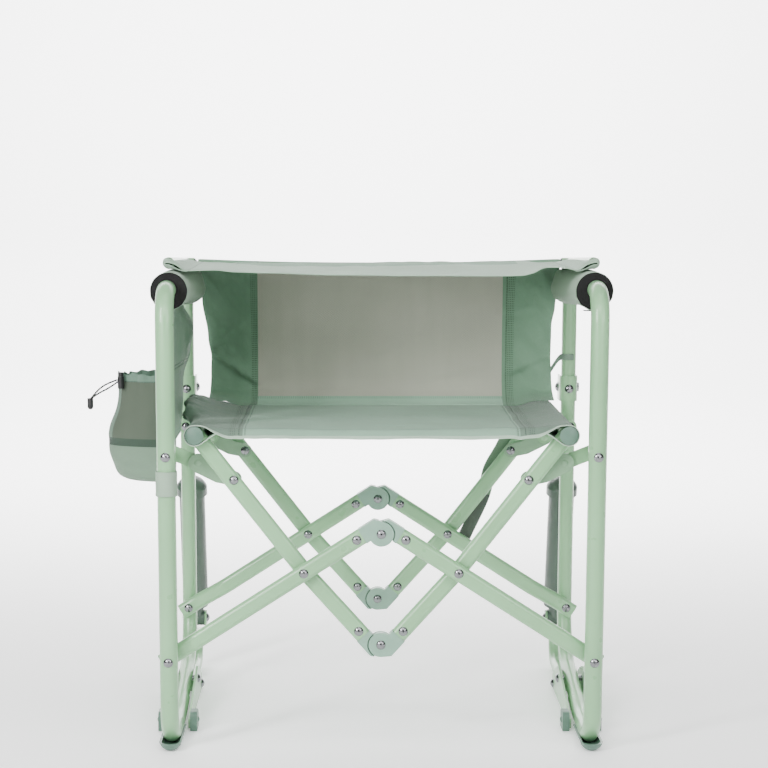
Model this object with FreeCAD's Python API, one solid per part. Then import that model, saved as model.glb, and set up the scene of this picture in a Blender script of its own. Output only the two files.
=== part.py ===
"""Side-folding camp rocking chair: two tube side frames, a double scissor, sprung rocker bases,
a folding back, and soft seat, back and cup holder. Millimetres, +Z up, chair front towards -Y."""

import FreeCAD, Part
import math
import os

from FreeCAD import Vector

os.makedirs("parts", exist_ok=True)

# ---------------------------------------------------------------- driving dimensions
SIDE_X = 288.5            # centre plane of each side frame from the middle of the chair
POST_Y = 370.0            # centre of the rear post behind the front leg (front leg is at Y = 0)
ARM_Z = 626.0             # centre of the armrest tube
FOOT_Z = 15.0             # centre of the front tube where it runs along the floor
RAIL_SLOPE = math.radians(9.46)   # rise of the lower rail towards the rear post
RAIL_BREAK_Y = 130.0      # where the lower rail starts to rise
TUBE_WALL = 1.2
FRONT_R = 12.5            # front frame tube
POST_R = 11.0             # rear post tube, which plugs into the front tube
POST_TOP_Z = 641.0
TUBE_JOIN_Y = (148.0, 190.0)      # the rear tube sits inside the front tube along the lower rail
TOUCH_GAP = 0.05          # clearance left between fixed parts that touch
EAR_X = (10.2, 13.2)      # inner and outer face of a hinge ear, from the post's middle
EAR_HALF_WIDTH = 7.6
EAR_DROP = 22.0           # ear below the top of the post
FOOT_PAD_Y = (-11.0, 96.0)
FOOT_PAD_R = 15.8
FOOT_PAD_H = 11.5

# pivots of the right-hand half scissor, as (X, Z)
LEG_PIVOT = (288.5, 126.0)
BRACE_PIVOT = (288.5, 406.5)
UPPER_KNUCKLE = (0.0, 298.0)
LOWER_KNUCKLE = (0.0, 141.0)
CROSSING = (105.4, 243.7)
TOGGLE_PIVOT = (249.5, 391.0)
BRACE_ON_LINK = (200.0, 369.7)
SEAT_RAIL = (252.0, 432.0)
UPPER_KNUCKLE_RIVET = (34.0, 291.0)
LOWER_KNUCKLE_RIVET = (30.5, 160.0)

LINK_HEIGHT = 23.0        # flat-oval scissor tube, upright size
LINK_DEPTH = 14.0         # flat-oval scissor tube, front-to-back size
LINK_END = 13.0           # tube beyond its outer pivot
KNUCKLE_R = 17.0
KNUCKLE_GAP = 0.4         # between the two halves of a knuckle
SHOULDER_REACH = 4.5      # a knuckle's outer corner goes this far past its pivot
SHOULDER_R = 4.0
KNUCKLE_RIVET_EDGE = 9.0  # from a knuckle's rivet to the end of its tube

# front-to-back places: front scissor behind the front leg, rear scissor ahead of the rear post
FRONT_LINK1_Y = 22.0
FRONT_LINK2_Y = 38.0
REAR_LINK1_Y = 332.0
REAR_LINK2_Y = 348.0
REAR_LINK1_END_Y = 351.0  # the rear lower link steps back to reach the post
TOGGLE_ARM_T = 3.5
TOGGLE_ELBOW = (222.0, 374.5)     # the arms bend down here
TOGGLE_HUB_R = 13.0
TOGGLE_ELBOW_R = 10.5
TOGGLE_END_R = 10.0
TOGGLE_STRAP_T = 3.0
LAYER_GAP = 0.5

PIN_R = 3.0               # scissor rivets
PIN_CLEARANCE = 0.05
RIVET_HEAD_R = 6.5
RIVET_HEAD_H = 3.0
HEAD_PLAY = 0.3           # between a moving link and the rivet head over it
WASHER_PLAY = 0.2
BRACE_SPACER_R = 5.0
BOLT_R = 4.0              # rocker and strut bolts
BOLT_HEAD_R = 7.5
BOLT_HEAD_H = 4.5

SEAT_TUBE_R = 11.0
SEAT_RAIL_Y = (17.0, 355.2)
SEAT_CAP_R = 12.4
FABRIC = 1.8              # thickness of a doubled fabric sleeve
SLEEVE_SLACK = 0.3        # cloth sleeve round its tube

ROCK_PIVOT = (262.0, 37.0)        # (Y, Z)
STRUT_FOOT = (495.0, 79.0)
STRUT_TOP = (390.0, 461.0)
STRUT_EYE_R = 8.6
STRUT_EYE_HOLE_R = 5.2    # the top eye is the open pivot of the strut, so its hole is loose
STRUT_FOOT_EYE_R = 12.5
BRACKET_Z = (442.0, 480.0)
BRACKET_WALL = 2.6
CLEVIS_X = (11.1, 13.6)   # inner and outer face of a clevis cheek, from the post's middle
FORK_X = (14.0, 17.0)     # inner and outer face of a fork cheek at the strut's foot
FORK_Y = (483.0, 507.0)
FORK_FLOOR_Z = (56.0, 60.0)
STRUT_R = 20.0
STRUT_CAP_R = 24.0
STRUT_BODY = (24.0, 226.0)        # cylinder along the strut axis, from the foot pivot
STRUT_CAP_TOP = 247.0
STRUT_WALL = 2.0
STRUT_FLOOR = 6.0
ROD_R = 6.0
PISTON = (186.0, 196.0)
SPRING_TURNS = 9
SPRING_WIRE_R = 2.0
SPRING_R = 13.0

BASE_TUBE_R = 11.0
PLATE_T = 3.0
PLATE_HALF_GAP = 16.5     # side plates stand this far from the side frame's plane
PLATE_Y = (104.0, 346.0)
BASE_BLOCK_BOLT = (331.0, 12.0)
BASE_BEND_R = 38.0
GLIDE_Y = (99.0, 131.0)
GLIDE_H = 27.0

ARM_PAD_R = 24.6
ARM_PAD_XZ = (285.9, 624.0)       # the pad's bore is off centre, so it hangs in and down
ARM_PAD_CLEARANCE = 10.2          # the pad is pressed flat this far under the folded back tube
ARM_PAD_Y = (45.0, 343.0)
ARM_COVER_T = 0.8

BACK_PIVOT_Z = 649.5
BACK_TILT = 2.2           # degrees; the folded back tube rises towards its tip
BACK_TUBE_R = 7.5
BACK_TIP_Y = 85.0
BACK_SLEEVE_R = 8.9
BACK_EYE_R = 7.6
LOWER_BACK_EDGE = [(258.0, 450.0), (255.0, 560.0), (262.0, 651.0)]   # (X, Z) down the right edge

BAG_X = (-388.0, -293.0)
BAG_Y = 180.0
BAG_WALL = 1.6
BAG_SECTIONS = [(347.0, -362.0, 32.0), (368.0, -379.0, 40.0), (424.0, BAG_X[0], 45.0),
                (470.0, -375.0, 41.0), (509.0, -369.0, 38.0)]   # (Z, outermost X, half depth)
PANEL_X = (-SIDE_X - 3.9, -SIDE_X - 1.9)
LEG_LOOP_Z = (353.0, 387.0)
CORD_LOCK = Vector(-364.5, 154.3, 482.0)
CORD_LOCK_R = 4.5
CORD_END = Vector(-408.5, 158.3, 456.0)
CORD_END_R = 4.2
CORD_R = 1.25
CORD_UPPER = [Vector(-369.0, 152.8, 494.5), Vector(-382.5, 151.5, 490.0), Vector(-397.0, 153.5, 480.5),
              Vector(-407.0, 157.0, 468.0)]
CORD_LOWER = [Vector(-369.0, 155.8, 491.5), Vector(-381.0, 158.5, 482.5), Vector(-396.0, 159.5, 475.5),
              Vector(-408.0, 159.5, 467.0)]
CORD_NODES = ["cord_end", "drawcord_upper", "drawcord_lower"]

HANDLE_POINTS = [(192.0, 424.0), (179.5, 366.0), (168.5, 340.0), (163.0, 300.0), (129.0, 228.0)]
HANDLE_Y = (356.3, 358.3)
HANDLE_WIDTH = 20.0


# ---------------------------------------------------------------- small helpers
def fuse(shapes):
    """One solid from shapes that overlap."""
    shapes = list(shapes)
    return shapes[0].fuse(shapes[1:]).removeSplitter()


def group(shapes):
    """Separate solids kept in one node."""
    return Part.makeCompound([s for shape in shapes for s in shape.Solids])


def mirrored(shape):
    return shape.mirror(Vector(0, 0, 0), Vector(1, 0, 0))


def box(x, y, z):
    """Box from three (low, high) pairs."""
    return Part.makeBox(x[1] - x[0], y[1] - y[0], z[1] - z[0], Vector(x[0], y[0], z[0]))


def cylinder_x(r, x0, x1, yz):
    return Part.makeCylinder(r, x1 - x0, Vector(x0, yz[0], yz[1]), Vector(1, 0, 0))


def cylinder_y(r, y0, y1, xz):
    return Part.makeCylinder(r, y1 - y0, Vector(xz[0], y0, xz[1]), Vector(0, 1, 0))


def ring_y(r_out, r_in, y0, y1, xz):
    return cylinder_y(r_out, y0, y1, xz).cut(cylinder_y(r_in, y0, y1, xz))


def dome(base, direction, r, h):
    """Shallow domed head standing on a face at base."""
    across = Vector(0, 0, 1).cross(direction)
    if across.Length < 0.1:
        across = Vector(1, 0, 0)
    across.normalize()
    rim = base + across * r
    top = base + direction * h
    sphere_r = (r * r + h * h) / (2 * h)
    centre = base + direction * (h - sphere_r)
    middle = centre + ((rim + top) * 0.5 - centre).normalize() * sphere_r
    outline = Part.Wire([Part.LineSegment(base, rim).toShape(), Part.Arc(rim, middle, top).toShape(),
                         Part.LineSegment(top, base).toShape()])
    return Part.Face(outline).revolve(base, direction, 360)


def rivet_y(xz, y0, y1, r=PIN_R, head_r=RIVET_HEAD_R, head_h=RIVET_HEAD_H, front=True, back=True):
    """Shank along Y from y0 to y1 with a domed head outside each end that has one."""
    parts = [cylinder_y(r, y0, y1, xz)]
    if front:
        parts.append(dome(Vector(xz[0], y0, xz[1]), Vector(0, -1, 0), head_r, head_h))
    if back:
        parts.append(dome(Vector(xz[0], y1, xz[1]), Vector(0, 1, 0), head_r, head_h))
    return fuse(parts)


def bolt_x(yz, x0, x1, r=BOLT_R):
    """Bolt along X with a domed head on the inner side and a hexagon nut on the outer side."""
    turns = [math.radians(60 * i) for i in range(7)]
    corners = [Vector(x1, yz[0], yz[1]) + Vector(0, math.cos(a), math.sin(a)) * BOLT_HEAD_R for a in turns]
    nut = Part.Face(Part.makePolygon(corners)).extrude(Vector(BOLT_HEAD_H, 0, 0))
    head = dome(Vector(x0, yz[0], yz[1]), Vector(-1, 0, 0), BOLT_HEAD_R, BOLT_HEAD_H)
    return fuse([cylinder_x(r, x0, x1, yz), head, nut])


def rounded_path(points, radii):
    """Wire of straight runs joined by tangent arcs; radii has one value per inner point."""
    edges = []
    start = points[0]
    for i, radius in enumerate(radii, start=1):
        into = (points[i] - points[i - 1]).normalize()
        out = (points[i + 1] - points[i]).normalize()
        turn = into.getAngle(out)
        setback = radius * math.tan(turn / 2)
        arc_start = points[i] - into * setback
        arc_end = points[i] + out * setback
        bisector = (out - into).normalize()
        centre = points[i] + bisector * (radius / math.cos(turn / 2))
        arc_middle = centre - bisector * radius
        edges.append(Part.LineSegment(start, arc_start).toShape())
        edges.append(Part.Arc(arc_start, arc_middle, arc_end).toShape())
        start = arc_end
    edges.append(Part.LineSegment(start, points[-1]).toShape())
    return Part.Wire(edges)


def sweep(path, profile):
    """Solid made by moving a closed profile wire along a flat path wire."""
    return path.makePipe(Part.Face(profile))


def round_bar(points, radii, r):
    path = rounded_path(points, radii)
    return sweep(path, Part.Wire(Part.Circle(points[0], points[1] - points[0], r).toShape()))


def round_tube(points, radii, r, wall=TUBE_WALL):
    return round_bar(points, radii, r).cut(round_bar(points, radii, r - wall))


def oval_wire(origin, side, depth_dir, height, depth):
    """Flat-oval outline: straight sides along `side`, rounded ends, thin along depth_dir."""
    r = depth / 2
    h = height / 2 - r
    a = origin + side * h + depth_dir * r
    b = origin + side * h - depth_dir * r
    c = origin - side * h - depth_dir * r
    d = origin - side * h + depth_dir * r
    return Part.Wire([
        Part.Arc(a, origin + side * (h + r), b).toShape(),
        Part.LineSegment(b, c).toShape(),
        Part.Arc(c, origin - side * (h + r), d).toShape(),
        Part.LineSegment(d, a).toShape()])


def oval_tube(points, radii):
    """Hollow flat-oval scissor tube."""
    path = rounded_path(points, radii)
    run = (points[1] - points[0]).normalize()
    depth_dir = Vector(0, 1, 0)
    upright = run.cross(depth_dir).normalize()
    outer = sweep(path, oval_wire(points[0], upright, depth_dir, LINK_HEIGHT, LINK_DEPTH))
    inner_size = (LINK_HEIGHT - 2 * TUBE_WALL, LINK_DEPTH - 2 * TUBE_WALL)
    return outer.cut(sweep(path, oval_wire(points[0], upright, depth_dir, *inner_size)))


def at(xz, y):
    return Vector(xz[0], y, xz[1])


def unit(a, b):
    """Unit (X, Z) direction from a to b."""
    length = math.hypot(b[0] - a[0], b[1] - a[1])
    return ((b[0] - a[0]) / length, (b[1] - a[1]) / length)


def along(a, direction, distance):
    return (a[0] + direction[0] * distance, a[1] + direction[1] * distance)


def strap_y(a, b, width, y0, y1):
    """Flat strap with round ends between two (X, Z) points."""
    u = unit(a, b)
    n = (-u[1], u[0])
    r = width / 2
    corners = [along(a, n, r), along(b, n, r), along(b, n, -r), along(a, n, -r), along(a, n, r)]
    plate = Part.Face(Part.makePolygon([at(c, y0) for c in corners])).extrude(Vector(0, y1 - y0, 0))
    return fuse([plate, cylinder_y(r, y0, y1, a), cylinder_y(r, y0, y1, b)])


# ---------------------------------------------------------------- side frame
def tapered_y(a, r_a, b, r_b, y0, y1):
    """Flat plate of two discs and the tangents between them."""
    run = math.atan2(b[1] - a[1], b[0] - a[0])
    lean = math.acos((r_a - r_b) / math.dist(a, b))
    corners = []
    for turn, ends in ((lean, ((a, r_a), (b, r_b))), (-lean, ((b, r_b), (a, r_a)))):
        normal = (math.cos(run + turn), math.sin(run + turn))
        corners += [along(centre, normal, r) for centre, r in ends]
    web = Part.Face(Part.makePolygon([at(c, y0) for c in corners + corners[:1]]))
    return fuse([cylinder_y(r_a, y0, y1, a), cylinder_y(r_b, y0, y1, b), web.extrude(Vector(0, y1 - y0, 0))])


def side(y, z):
    """Point in the side frame's plane."""
    return Vector(SIDE_X, y, z)


def rail_z(y):
    return FOOT_Z + (y - RAIL_BREAK_Y) * math.tan(RAIL_SLOPE)


def front_tube_points():
    return [side(POST_Y, ARM_Z), side(0, ARM_Z), side(0, FOOT_Z), side(RAIL_BREAK_Y, FOOT_Z),
            side(TUBE_JOIN_Y[1], rail_z(TUBE_JOIN_Y[1]))]


FRONT_TUBE_RADII = [40.0, 45.0, 150.0]


def front_frame_tube():
    """Armrest, front leg and front half of the lower rail, bent from one tube."""
    tube = round_tube(front_tube_points(), FRONT_TUBE_RADII, FRONT_R)
    cope = Part.makeCylinder(POST_R + TOUCH_GAP, 120, side(POST_Y, ARM_Z - 60))
    beyond = box((SIDE_X - 20, SIDE_X + 20), (POST_Y, POST_Y + 40), (ARM_Z - 20, ARM_Z + 20))
    ear_low = POST_TOP_Z - EAR_DROP - TOUCH_GAP
    ear_y = (POST_Y - EAR_HALF_WIDTH - TOUCH_GAP, POST_Y + EAR_HALF_WIDTH)
    ear_seats = [box(x, ear_y, (ear_low, ARM_Z + 20)) for x in ear_spans(TOUCH_GAP)]
    tube = tube.cut([cope, beyond] + ear_seats)
    holes = [cylinder_y(PIN_R, -20, 20, pivot) for pivot in (LEG_PIVOT, BRACE_PIVOT)]
    return tube.cut(holes)


def ear_spans(slack=0.0):
    """(low, high) X of the two hinge ears on the post."""
    inner, outer = EAR_X[0] - slack, EAR_X[1] + slack
    return [(SIDE_X - outer, SIDE_X - inner), (SIDE_X + inner, SIDE_X + outer)]


def hinge_ears():
    """Two plates on the post's sides that carry the back hinge."""
    ears = []
    ear_y = (POST_Y - EAR_HALF_WIDTH, POST_Y + EAR_HALF_WIDTH)
    for x in ear_spans():
        plate = box(x, ear_y, (POST_TOP_Z - EAR_DROP, BACK_PIVOT_Z))
        ears.append(fuse([plate, cylinder_x(EAR_HALF_WIDTH, x[0], x[1], (POST_Y, BACK_PIVOT_Z))]))
    weld_depth = 0.4
    post_core = Part.makeCylinder(POST_R - weld_depth, 80, side(POST_Y, POST_TOP_Z - 60))
    return [ear.cut(post_core) for ear in ears]


def rear_post_tube():
    """Rear half of the lower rail and the rear post, with two welded hinge ears on top."""
    start = TUBE_JOIN_Y[0]
    points = [side(start, rail_z(start)), side(POST_Y, rail_z(POST_Y)), side(POST_Y, POST_TOP_Z)]
    tube = round_tube(points, [80.0], POST_R)
    post = fuse([tube] + hinge_ears())
    holes = [cylinder_x(BOLT_R + PIN_CLEARANCE, SIDE_X - 20, SIDE_X + 20, ROCK_PIVOT),
             cylinder_x(PIN_R, SIDE_X - 20, SIDE_X + 20, (POST_Y, BACK_PIVOT_Z))]
    holes += [cylinder_y(PIN_R, POST_Y - 20, POST_Y + 20, pivot) for pivot in (LEG_PIVOT, BRACE_PIVOT)]
    return post.cut(holes)


def front_foot_pad():
    """Moulded trough under the front bend: round below with a flat to stand on, and a closed nose."""
    nose = FOOT_PAD_Y[0] + FOOT_PAD_R
    shells = []
    for r in (FOOT_PAD_R, FRONT_R + 0.2):
        bar = Part.makeCylinder(r, FOOT_PAD_Y[1] - nose + 1, side(nose, FOOT_Z), Vector(0, 1, 0))
        shells.append(bar.fuse(Part.makeSphere(r, side(nose, FOOT_Z))))
    x = (SIDE_X - FOOT_PAD_R, SIDE_X + FOOT_PAD_R)
    body = shells[0].common(box(x, FOOT_PAD_Y, (0, FOOT_PAD_H)))
    channel = round_bar(front_tube_points()[1:], FRONT_TUBE_RADII[1:], FRONT_R + 0.2)
    return body.cut([shells[1], channel])


def folded(shape):
    """Leans a part of the level folded back up from its hinge, as it lies on the arm pads."""
    return shape.rotated(Vector(0, POST_Y, BACK_PIVOT_Z), Vector(1, 0, 0), -BACK_TILT)


def arm_pad_bar(slack, y):
    """Bar with the arm pad's section, grown by slack and flat under the folded back tube."""
    bar = cylinder_y(ARM_PAD_R + slack, *y, ARM_PAD_XZ)
    reach = ARM_PAD_R + slack + 1
    x, z = ARM_PAD_XZ
    flat_z = BACK_PIVOT_Z - ARM_PAD_CLEARANCE + slack
    above = box((x - reach, x + reach), (y[0] - 20, y[1] + 20), (flat_z, z + 2 * reach))
    return bar.cut(folded(above))


def arm_foam():
    return arm_pad_bar(0.0, ARM_PAD_Y).cut(cylinder_y(FRONT_R + 0.2, *ARM_PAD_Y, (SIDE_X, ARM_Z)))


def arm_cover():
    y = (ARM_PAD_Y[0] + 1.5, ARM_PAD_Y[1])
    return arm_pad_bar(TOUCH_GAP + ARM_COVER_T, y).cut(arm_pad_bar(TOUCH_GAP, y))


def strut_bracket():
    """Clevis wrapped round the post, holding the top of the spring strut."""
    z = BRACKET_Z
    inner, outer = CLEVIS_X
    wrap = Part.makeCylinder(POST_R + BRACKET_WALL, z[1] - z[0], side(POST_Y, z[0]))
    cheeks = box((SIDE_X - outer, SIDE_X + outer), (POST_Y, STRUT_TOP[0] + 5), z)
    nose = cylinder_x(11.0, SIDE_X - outer, SIDE_X + outer, STRUT_TOP)
    slot = box((SIDE_X - inner, SIDE_X + inner), (POST_Y, STRUT_TOP[0] + 14), (z[0] - 1, z[1] + 1))
    post = Part.makeCylinder(POST_R + TOUCH_GAP, z[1] - z[0], side(POST_Y, z[0]))
    clevis = fuse([wrap, cheeks, nose]).cut([slot, post])
    return clevis.cut(cylinder_x(BOLT_R, SIDE_X - 20, SIDE_X + 20, STRUT_TOP))


def frame_rivets():
    """Pivot rivets, brace spacers, bracket rivet, strut top bolt and back hinge pin of one side."""
    half = LINK_DEPTH / 2
    to_strap = half + LAYER_GAP + TOGGLE_ARM_T + LAYER_GAP
    front_strap_y = FRONT_LINK2_Y + to_strap
    rear_strap_y = REAR_LINK2_Y - to_strap
    front_low = rivet_y(LEG_PIVOT, -FRONT_R, FRONT_LINK1_Y + half + HEAD_PLAY)
    front_washer = cylinder_y(8.0, FRONT_R + TOUCH_GAP, FRONT_LINK1_Y - half - HEAD_PLAY, LEG_PIVOT)
    front_high = rivet_y(BRACE_PIVOT, -FRONT_R, front_strap_y + TOGGLE_STRAP_T + HEAD_PLAY)
    front_spacer = cylinder_y(BRACE_SPACER_R, FRONT_R + TOUCH_GAP, front_strap_y - WASHER_PLAY, BRACE_PIVOT)
    rear_low = rivet_y(LEG_PIVOT, REAR_LINK1_END_Y - half - HEAD_PLAY, POST_Y + POST_R)
    rear_high = rivet_y(BRACE_PIVOT, rear_strap_y - TOGGLE_STRAP_T - HEAD_PLAY, POST_Y + POST_R)
    rear_spacer = cylinder_y(BRACE_SPACER_R, rear_strap_y + WASHER_PLAY, POST_Y - POST_R - TOUCH_GAP,
                             BRACE_PIVOT)
    bracket_rivet = dome(side(POST_Y - POST_R - BRACKET_WALL, STRUT_TOP[1]), Vector(0, -1, 0),
                         RIVET_HEAD_R, RIVET_HEAD_H)
    strut_bolt = bolt_x(STRUT_TOP, SIDE_X - CLEVIS_X[1], SIDE_X + CLEVIS_X[1])
    hinge_pin = bolt_x((POST_Y, BACK_PIVOT_Z), SIDE_X - EAR_X[1], SIDE_X + EAR_X[1], PIN_R)
    low = fuse([front_low, front_washer])
    high = fuse([front_high, front_spacer])
    return group([low, high, rear_low, fuse([rear_high, rear_spacer]), bracket_rivet, strut_bolt, hinge_pin])


# ---------------------------------------------------------------- rocker base and spring strut
def base_side_plates():
    """Two steel plates that carry the rocking pivot, one each side of the lower rail."""
    outline = [(PLATE_Y[0], 3), (PLATE_Y[1], 3), (PLATE_Y[1], 22), (300, 44), (ROCK_PIVOT[0], 56),
               (222, 46), (PLATE_Y[0], 17), (PLATE_Y[0], 3)]
    plates = []
    for sign in (-1, 1):
        x0 = SIDE_X + sign * PLATE_HALF_GAP
        face = Part.Face(Part.makePolygon([Vector(x0, y, z) for y, z in outline]))
        plate = face.extrude(Vector(sign * PLATE_T, 0, 0))
        upright = [e for e in plate.Edges if abs(e.BoundBox.XLength - PLATE_T) < 0.01
                   and e.BoundBox.YMin > 215 and e.BoundBox.ZMin > 21]
        plate = plate.makeFillet(12.0, upright)
        holes = [cylinder_x(BOLT_R, x0 - 10, x0 + 10, ROCK_PIVOT),
                 cylinder_x(PIN_R, x0 - 10, x0 + 10, BASE_BLOCK_BOLT)]
        plates.append(plate.cut(holes))
    return group(plates)


def base_tube():
    """Floor tube with the cross block at its front end and the strut fork at its rear end."""
    points = [side(336, BASE_TUBE_R), side(487, BASE_TUBE_R), side(496, 58)]
    tube = round_bar(points, [BASE_BEND_R], BASE_TUBE_R)
    bore = round_bar([side(345, BASE_TUBE_R)] + points[1:], [BASE_BEND_R], BASE_TUBE_R - TUBE_WALL)
    block_half = PLATE_HALF_GAP - 0.1
    block = box((SIDE_X - block_half, SIDE_X + block_half), (319, 343), (2, 21))
    floor = box((SIDE_X - FORK_X[1], SIDE_X + FORK_X[1]), FORK_Y, FORK_FLOOR_Z)
    fork = [floor]
    for sign in (-1, 1):
        x = sorted((SIDE_X + sign * FORK_X[0], SIDE_X + sign * FORK_X[1]))
        fork.append(box(x, FORK_Y, (FORK_FLOOR_Z[0], STRUT_FOOT[1])))
        fork.append(cylinder_x(12.0, x[0], x[1], STRUT_FOOT))
    solid = fuse([tube, block] + fork).cut(bore.cut(floor))
    return solid.cut([cylinder_x(PIN_R, SIDE_X - 20, SIDE_X + 20, BASE_BLOCK_BOLT),
                      cylinder_x(BOLT_R, SIDE_X - 20, SIDE_X + 20, STRUT_FOOT)])


def base_feet():
    """Plastic glides on the outer faces of the side plates' front ends."""
    feet = []
    for sign, thick in ((-1, 10.0), (1, 6.0)):
        x0 = SIDE_X + sign * (PLATE_HALF_GAP + PLATE_T + TOUCH_GAP)
        x = sorted((x0, x0 + sign * thick))
        foot = box(x, GLIDE_Y, (0, GLIDE_H))
        top = [e for e in foot.Edges if abs(e.BoundBox.XLength - thick) < 0.01 and e.BoundBox.ZMin > 20]
        foot = foot.makeFillet(9.0, top)
        knob = dome(Vector(x0 + sign * thick, sum(GLIDE_Y) / 2, GLIDE_H / 2), Vector(sign, 0, 0), 5.0, 2.5)
        feet.append(fuse([foot, knob]))
    return group(feet)


def base_bolts():
    """Rocking pivot bolt, strut foot bolt and the bolt through the cross block."""
    outer = PLATE_HALF_GAP + PLATE_T
    return group([bolt_x(ROCK_PIVOT, SIDE_X - outer, SIDE_X + outer),
                  bolt_x(STRUT_FOOT, SIDE_X - FORK_X[1], SIDE_X + FORK_X[1]),
                  bolt_x(BASE_BLOCK_BOLT, SIDE_X - outer, SIDE_X + outer, PIN_R)])


def strut_axis():
    run = side(*STRUT_TOP) - side(*STRUT_FOOT)
    return run.normalize()


def strut_length():
    return (side(*STRUT_TOP) - side(*STRUT_FOOT)).Length


def on_strut(distance):
    return side(*STRUT_FOOT) + strut_axis() * distance


def strut_bar(r, s0, s1):
    return Part.makeCylinder(r, s1 - s0, on_strut(s0), strut_axis())


def strut_cylinder():
    """Spring housing with a foot eye and a domed cap that guides the rod."""
    low, high = STRUT_BODY
    band_top = high + 4
    eye_half = FORK_X[0] - 0.5
    eye = cylinder_x(STRUT_FOOT_EYE_R, SIDE_X - eye_half, SIDE_X + eye_half, STRUT_FOOT)
    neck = strut_bar(12.0, 2, low + 1)
    body = strut_bar(STRUT_R, low, high)
    band = strut_bar(STRUT_CAP_R, high - 8, band_top)
    cap = dome(on_strut(band_top), strut_axis(), STRUT_CAP_R, STRUT_CAP_TOP - band_top)
    bore = strut_bar(STRUT_R - STRUT_WALL, low + STRUT_FLOOR, high)
    rod_hole = strut_bar(ROD_R + PIN_CLEARANCE, high - 1, STRUT_CAP_TOP + 1)
    pin_hole = cylinder_x(BOLT_R + PIN_CLEARANCE, SIDE_X - 20, SIDE_X + 20, STRUT_FOOT)
    return fuse([eye, neck, body, band, cap]).cut([bore, rod_hole, pin_hole])


def strut_rod():
    """Rod with the piston that presses the spring, and the top eye."""
    rod = strut_bar(ROD_R, PISTON[0], strut_length() - STRUT_EYE_HOLE_R - 1)
    piston = strut_bar(STRUT_R - STRUT_WALL - 0.4, *PISTON)
    eye_half = CLEVIS_X[0] - 0.6
    eye = cylinder_x(STRUT_EYE_R, SIDE_X - eye_half, SIDE_X + eye_half, STRUT_TOP)
    return fuse([rod, piston, eye]).cut(cylinder_x(STRUT_EYE_HOLE_R, SIDE_X - 20, SIDE_X + 20, STRUT_TOP))


def strut_spring():
    """Compression spring between the housing's floor and the piston."""
    seat_gap = 0.2
    start = STRUT_BODY[0] + STRUT_FLOOR + seat_gap + SPRING_WIRE_R
    height = PISTON[0] - seat_gap - SPRING_WIRE_R - start
    helix = Part.makeHelix(height / SPRING_TURNS, height, SPRING_R)
    circle = Part.Wire(Part.Circle(Vector(SPRING_R, 0, 0), Vector(0, 1, 0.05), SPRING_WIRE_R).toShape())
    coil = Part.Wire(helix).makePipeShell([circle], True, True)
    tilt = FreeCAD.Rotation(Vector(0, 0, 1), strut_axis())
    coil.Placement = FreeCAD.Placement(on_strut(start), tilt)
    return coil


# ---------------------------------------------------------------- scissor links
def drilled(shape, pivots, y0, y1, r=PIN_R):
    return shape.cut([cylinder_y(r, y0, y1, p) for p in pivots])


def lower_link(y, end_y):
    """Leg pivot to upper knuckle; end_y is where the tube lies at the leg."""
    u = unit(LEG_PIVOT, CROSSING)
    outer_end = along(LEG_PIVOT, u, -LINK_END)
    inner_end = along(knuckle_rivet_on_link1(), u, KNUCKLE_RIVET_EDGE)
    if end_y == y:
        tube = oval_tube([at(outer_end, y), at(inner_end, y)], [])
    else:
        step_start, step_end = 18.0, 66.0
        points = [at(outer_end, end_y), at(along(LEG_PIVOT, u, step_start), end_y),
                  at(along(LEG_PIVOT, u, step_end), y), at(inner_end, y)]
        tube = oval_tube(points, [40.0, 40.0])
    loose = cylinder_y(PIN_R + PIN_CLEARANCE, min(y, end_y) - 12, max(y, end_y) + 12, LEG_PIVOT)
    return drilled(tube.cut(loose), [CROSSING, knuckle_rivet_on_link1()], y - 12, y + 12)


def knuckle_rivet_on_link1():
    """The upper knuckle's rivet, dropped onto the tube's centre line."""
    u = unit(LEG_PIVOT, CROSSING)
    reach = (UPPER_KNUCKLE_RIVET[0] - LEG_PIVOT[0]) * u[0] + (UPPER_KNUCKLE_RIVET[1] - LEG_PIVOT[1]) * u[1]
    return along(LEG_PIVOT, u, reach)


def seat_link(y):
    """Seat rail to lower knuckle, bent slightly at the crossing."""
    to_knuckle = unit(CROSSING, LOWER_KNUCKLE_RIVET)
    inner_end = along(LOWER_KNUCKLE_RIVET, to_knuckle, KNUCKLE_RIVET_EDGE)
    tube = oval_tube([at(SEAT_RAIL, y), at(CROSSING, y), at(inner_end, y)], [300.0])
    tube = tube.cut(cylinder_y(SEAT_TUBE_R + 0.05, y - 12, y + 12, SEAT_RAIL))
    tube = drilled(tube, [CROSSING], y - 12, y + 12, PIN_R + PIN_CLEARANCE)
    return drilled(tube, [BRACE_ON_LINK, LOWER_KNUCKLE_RIVET], y - 12, y + 12)


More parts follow.
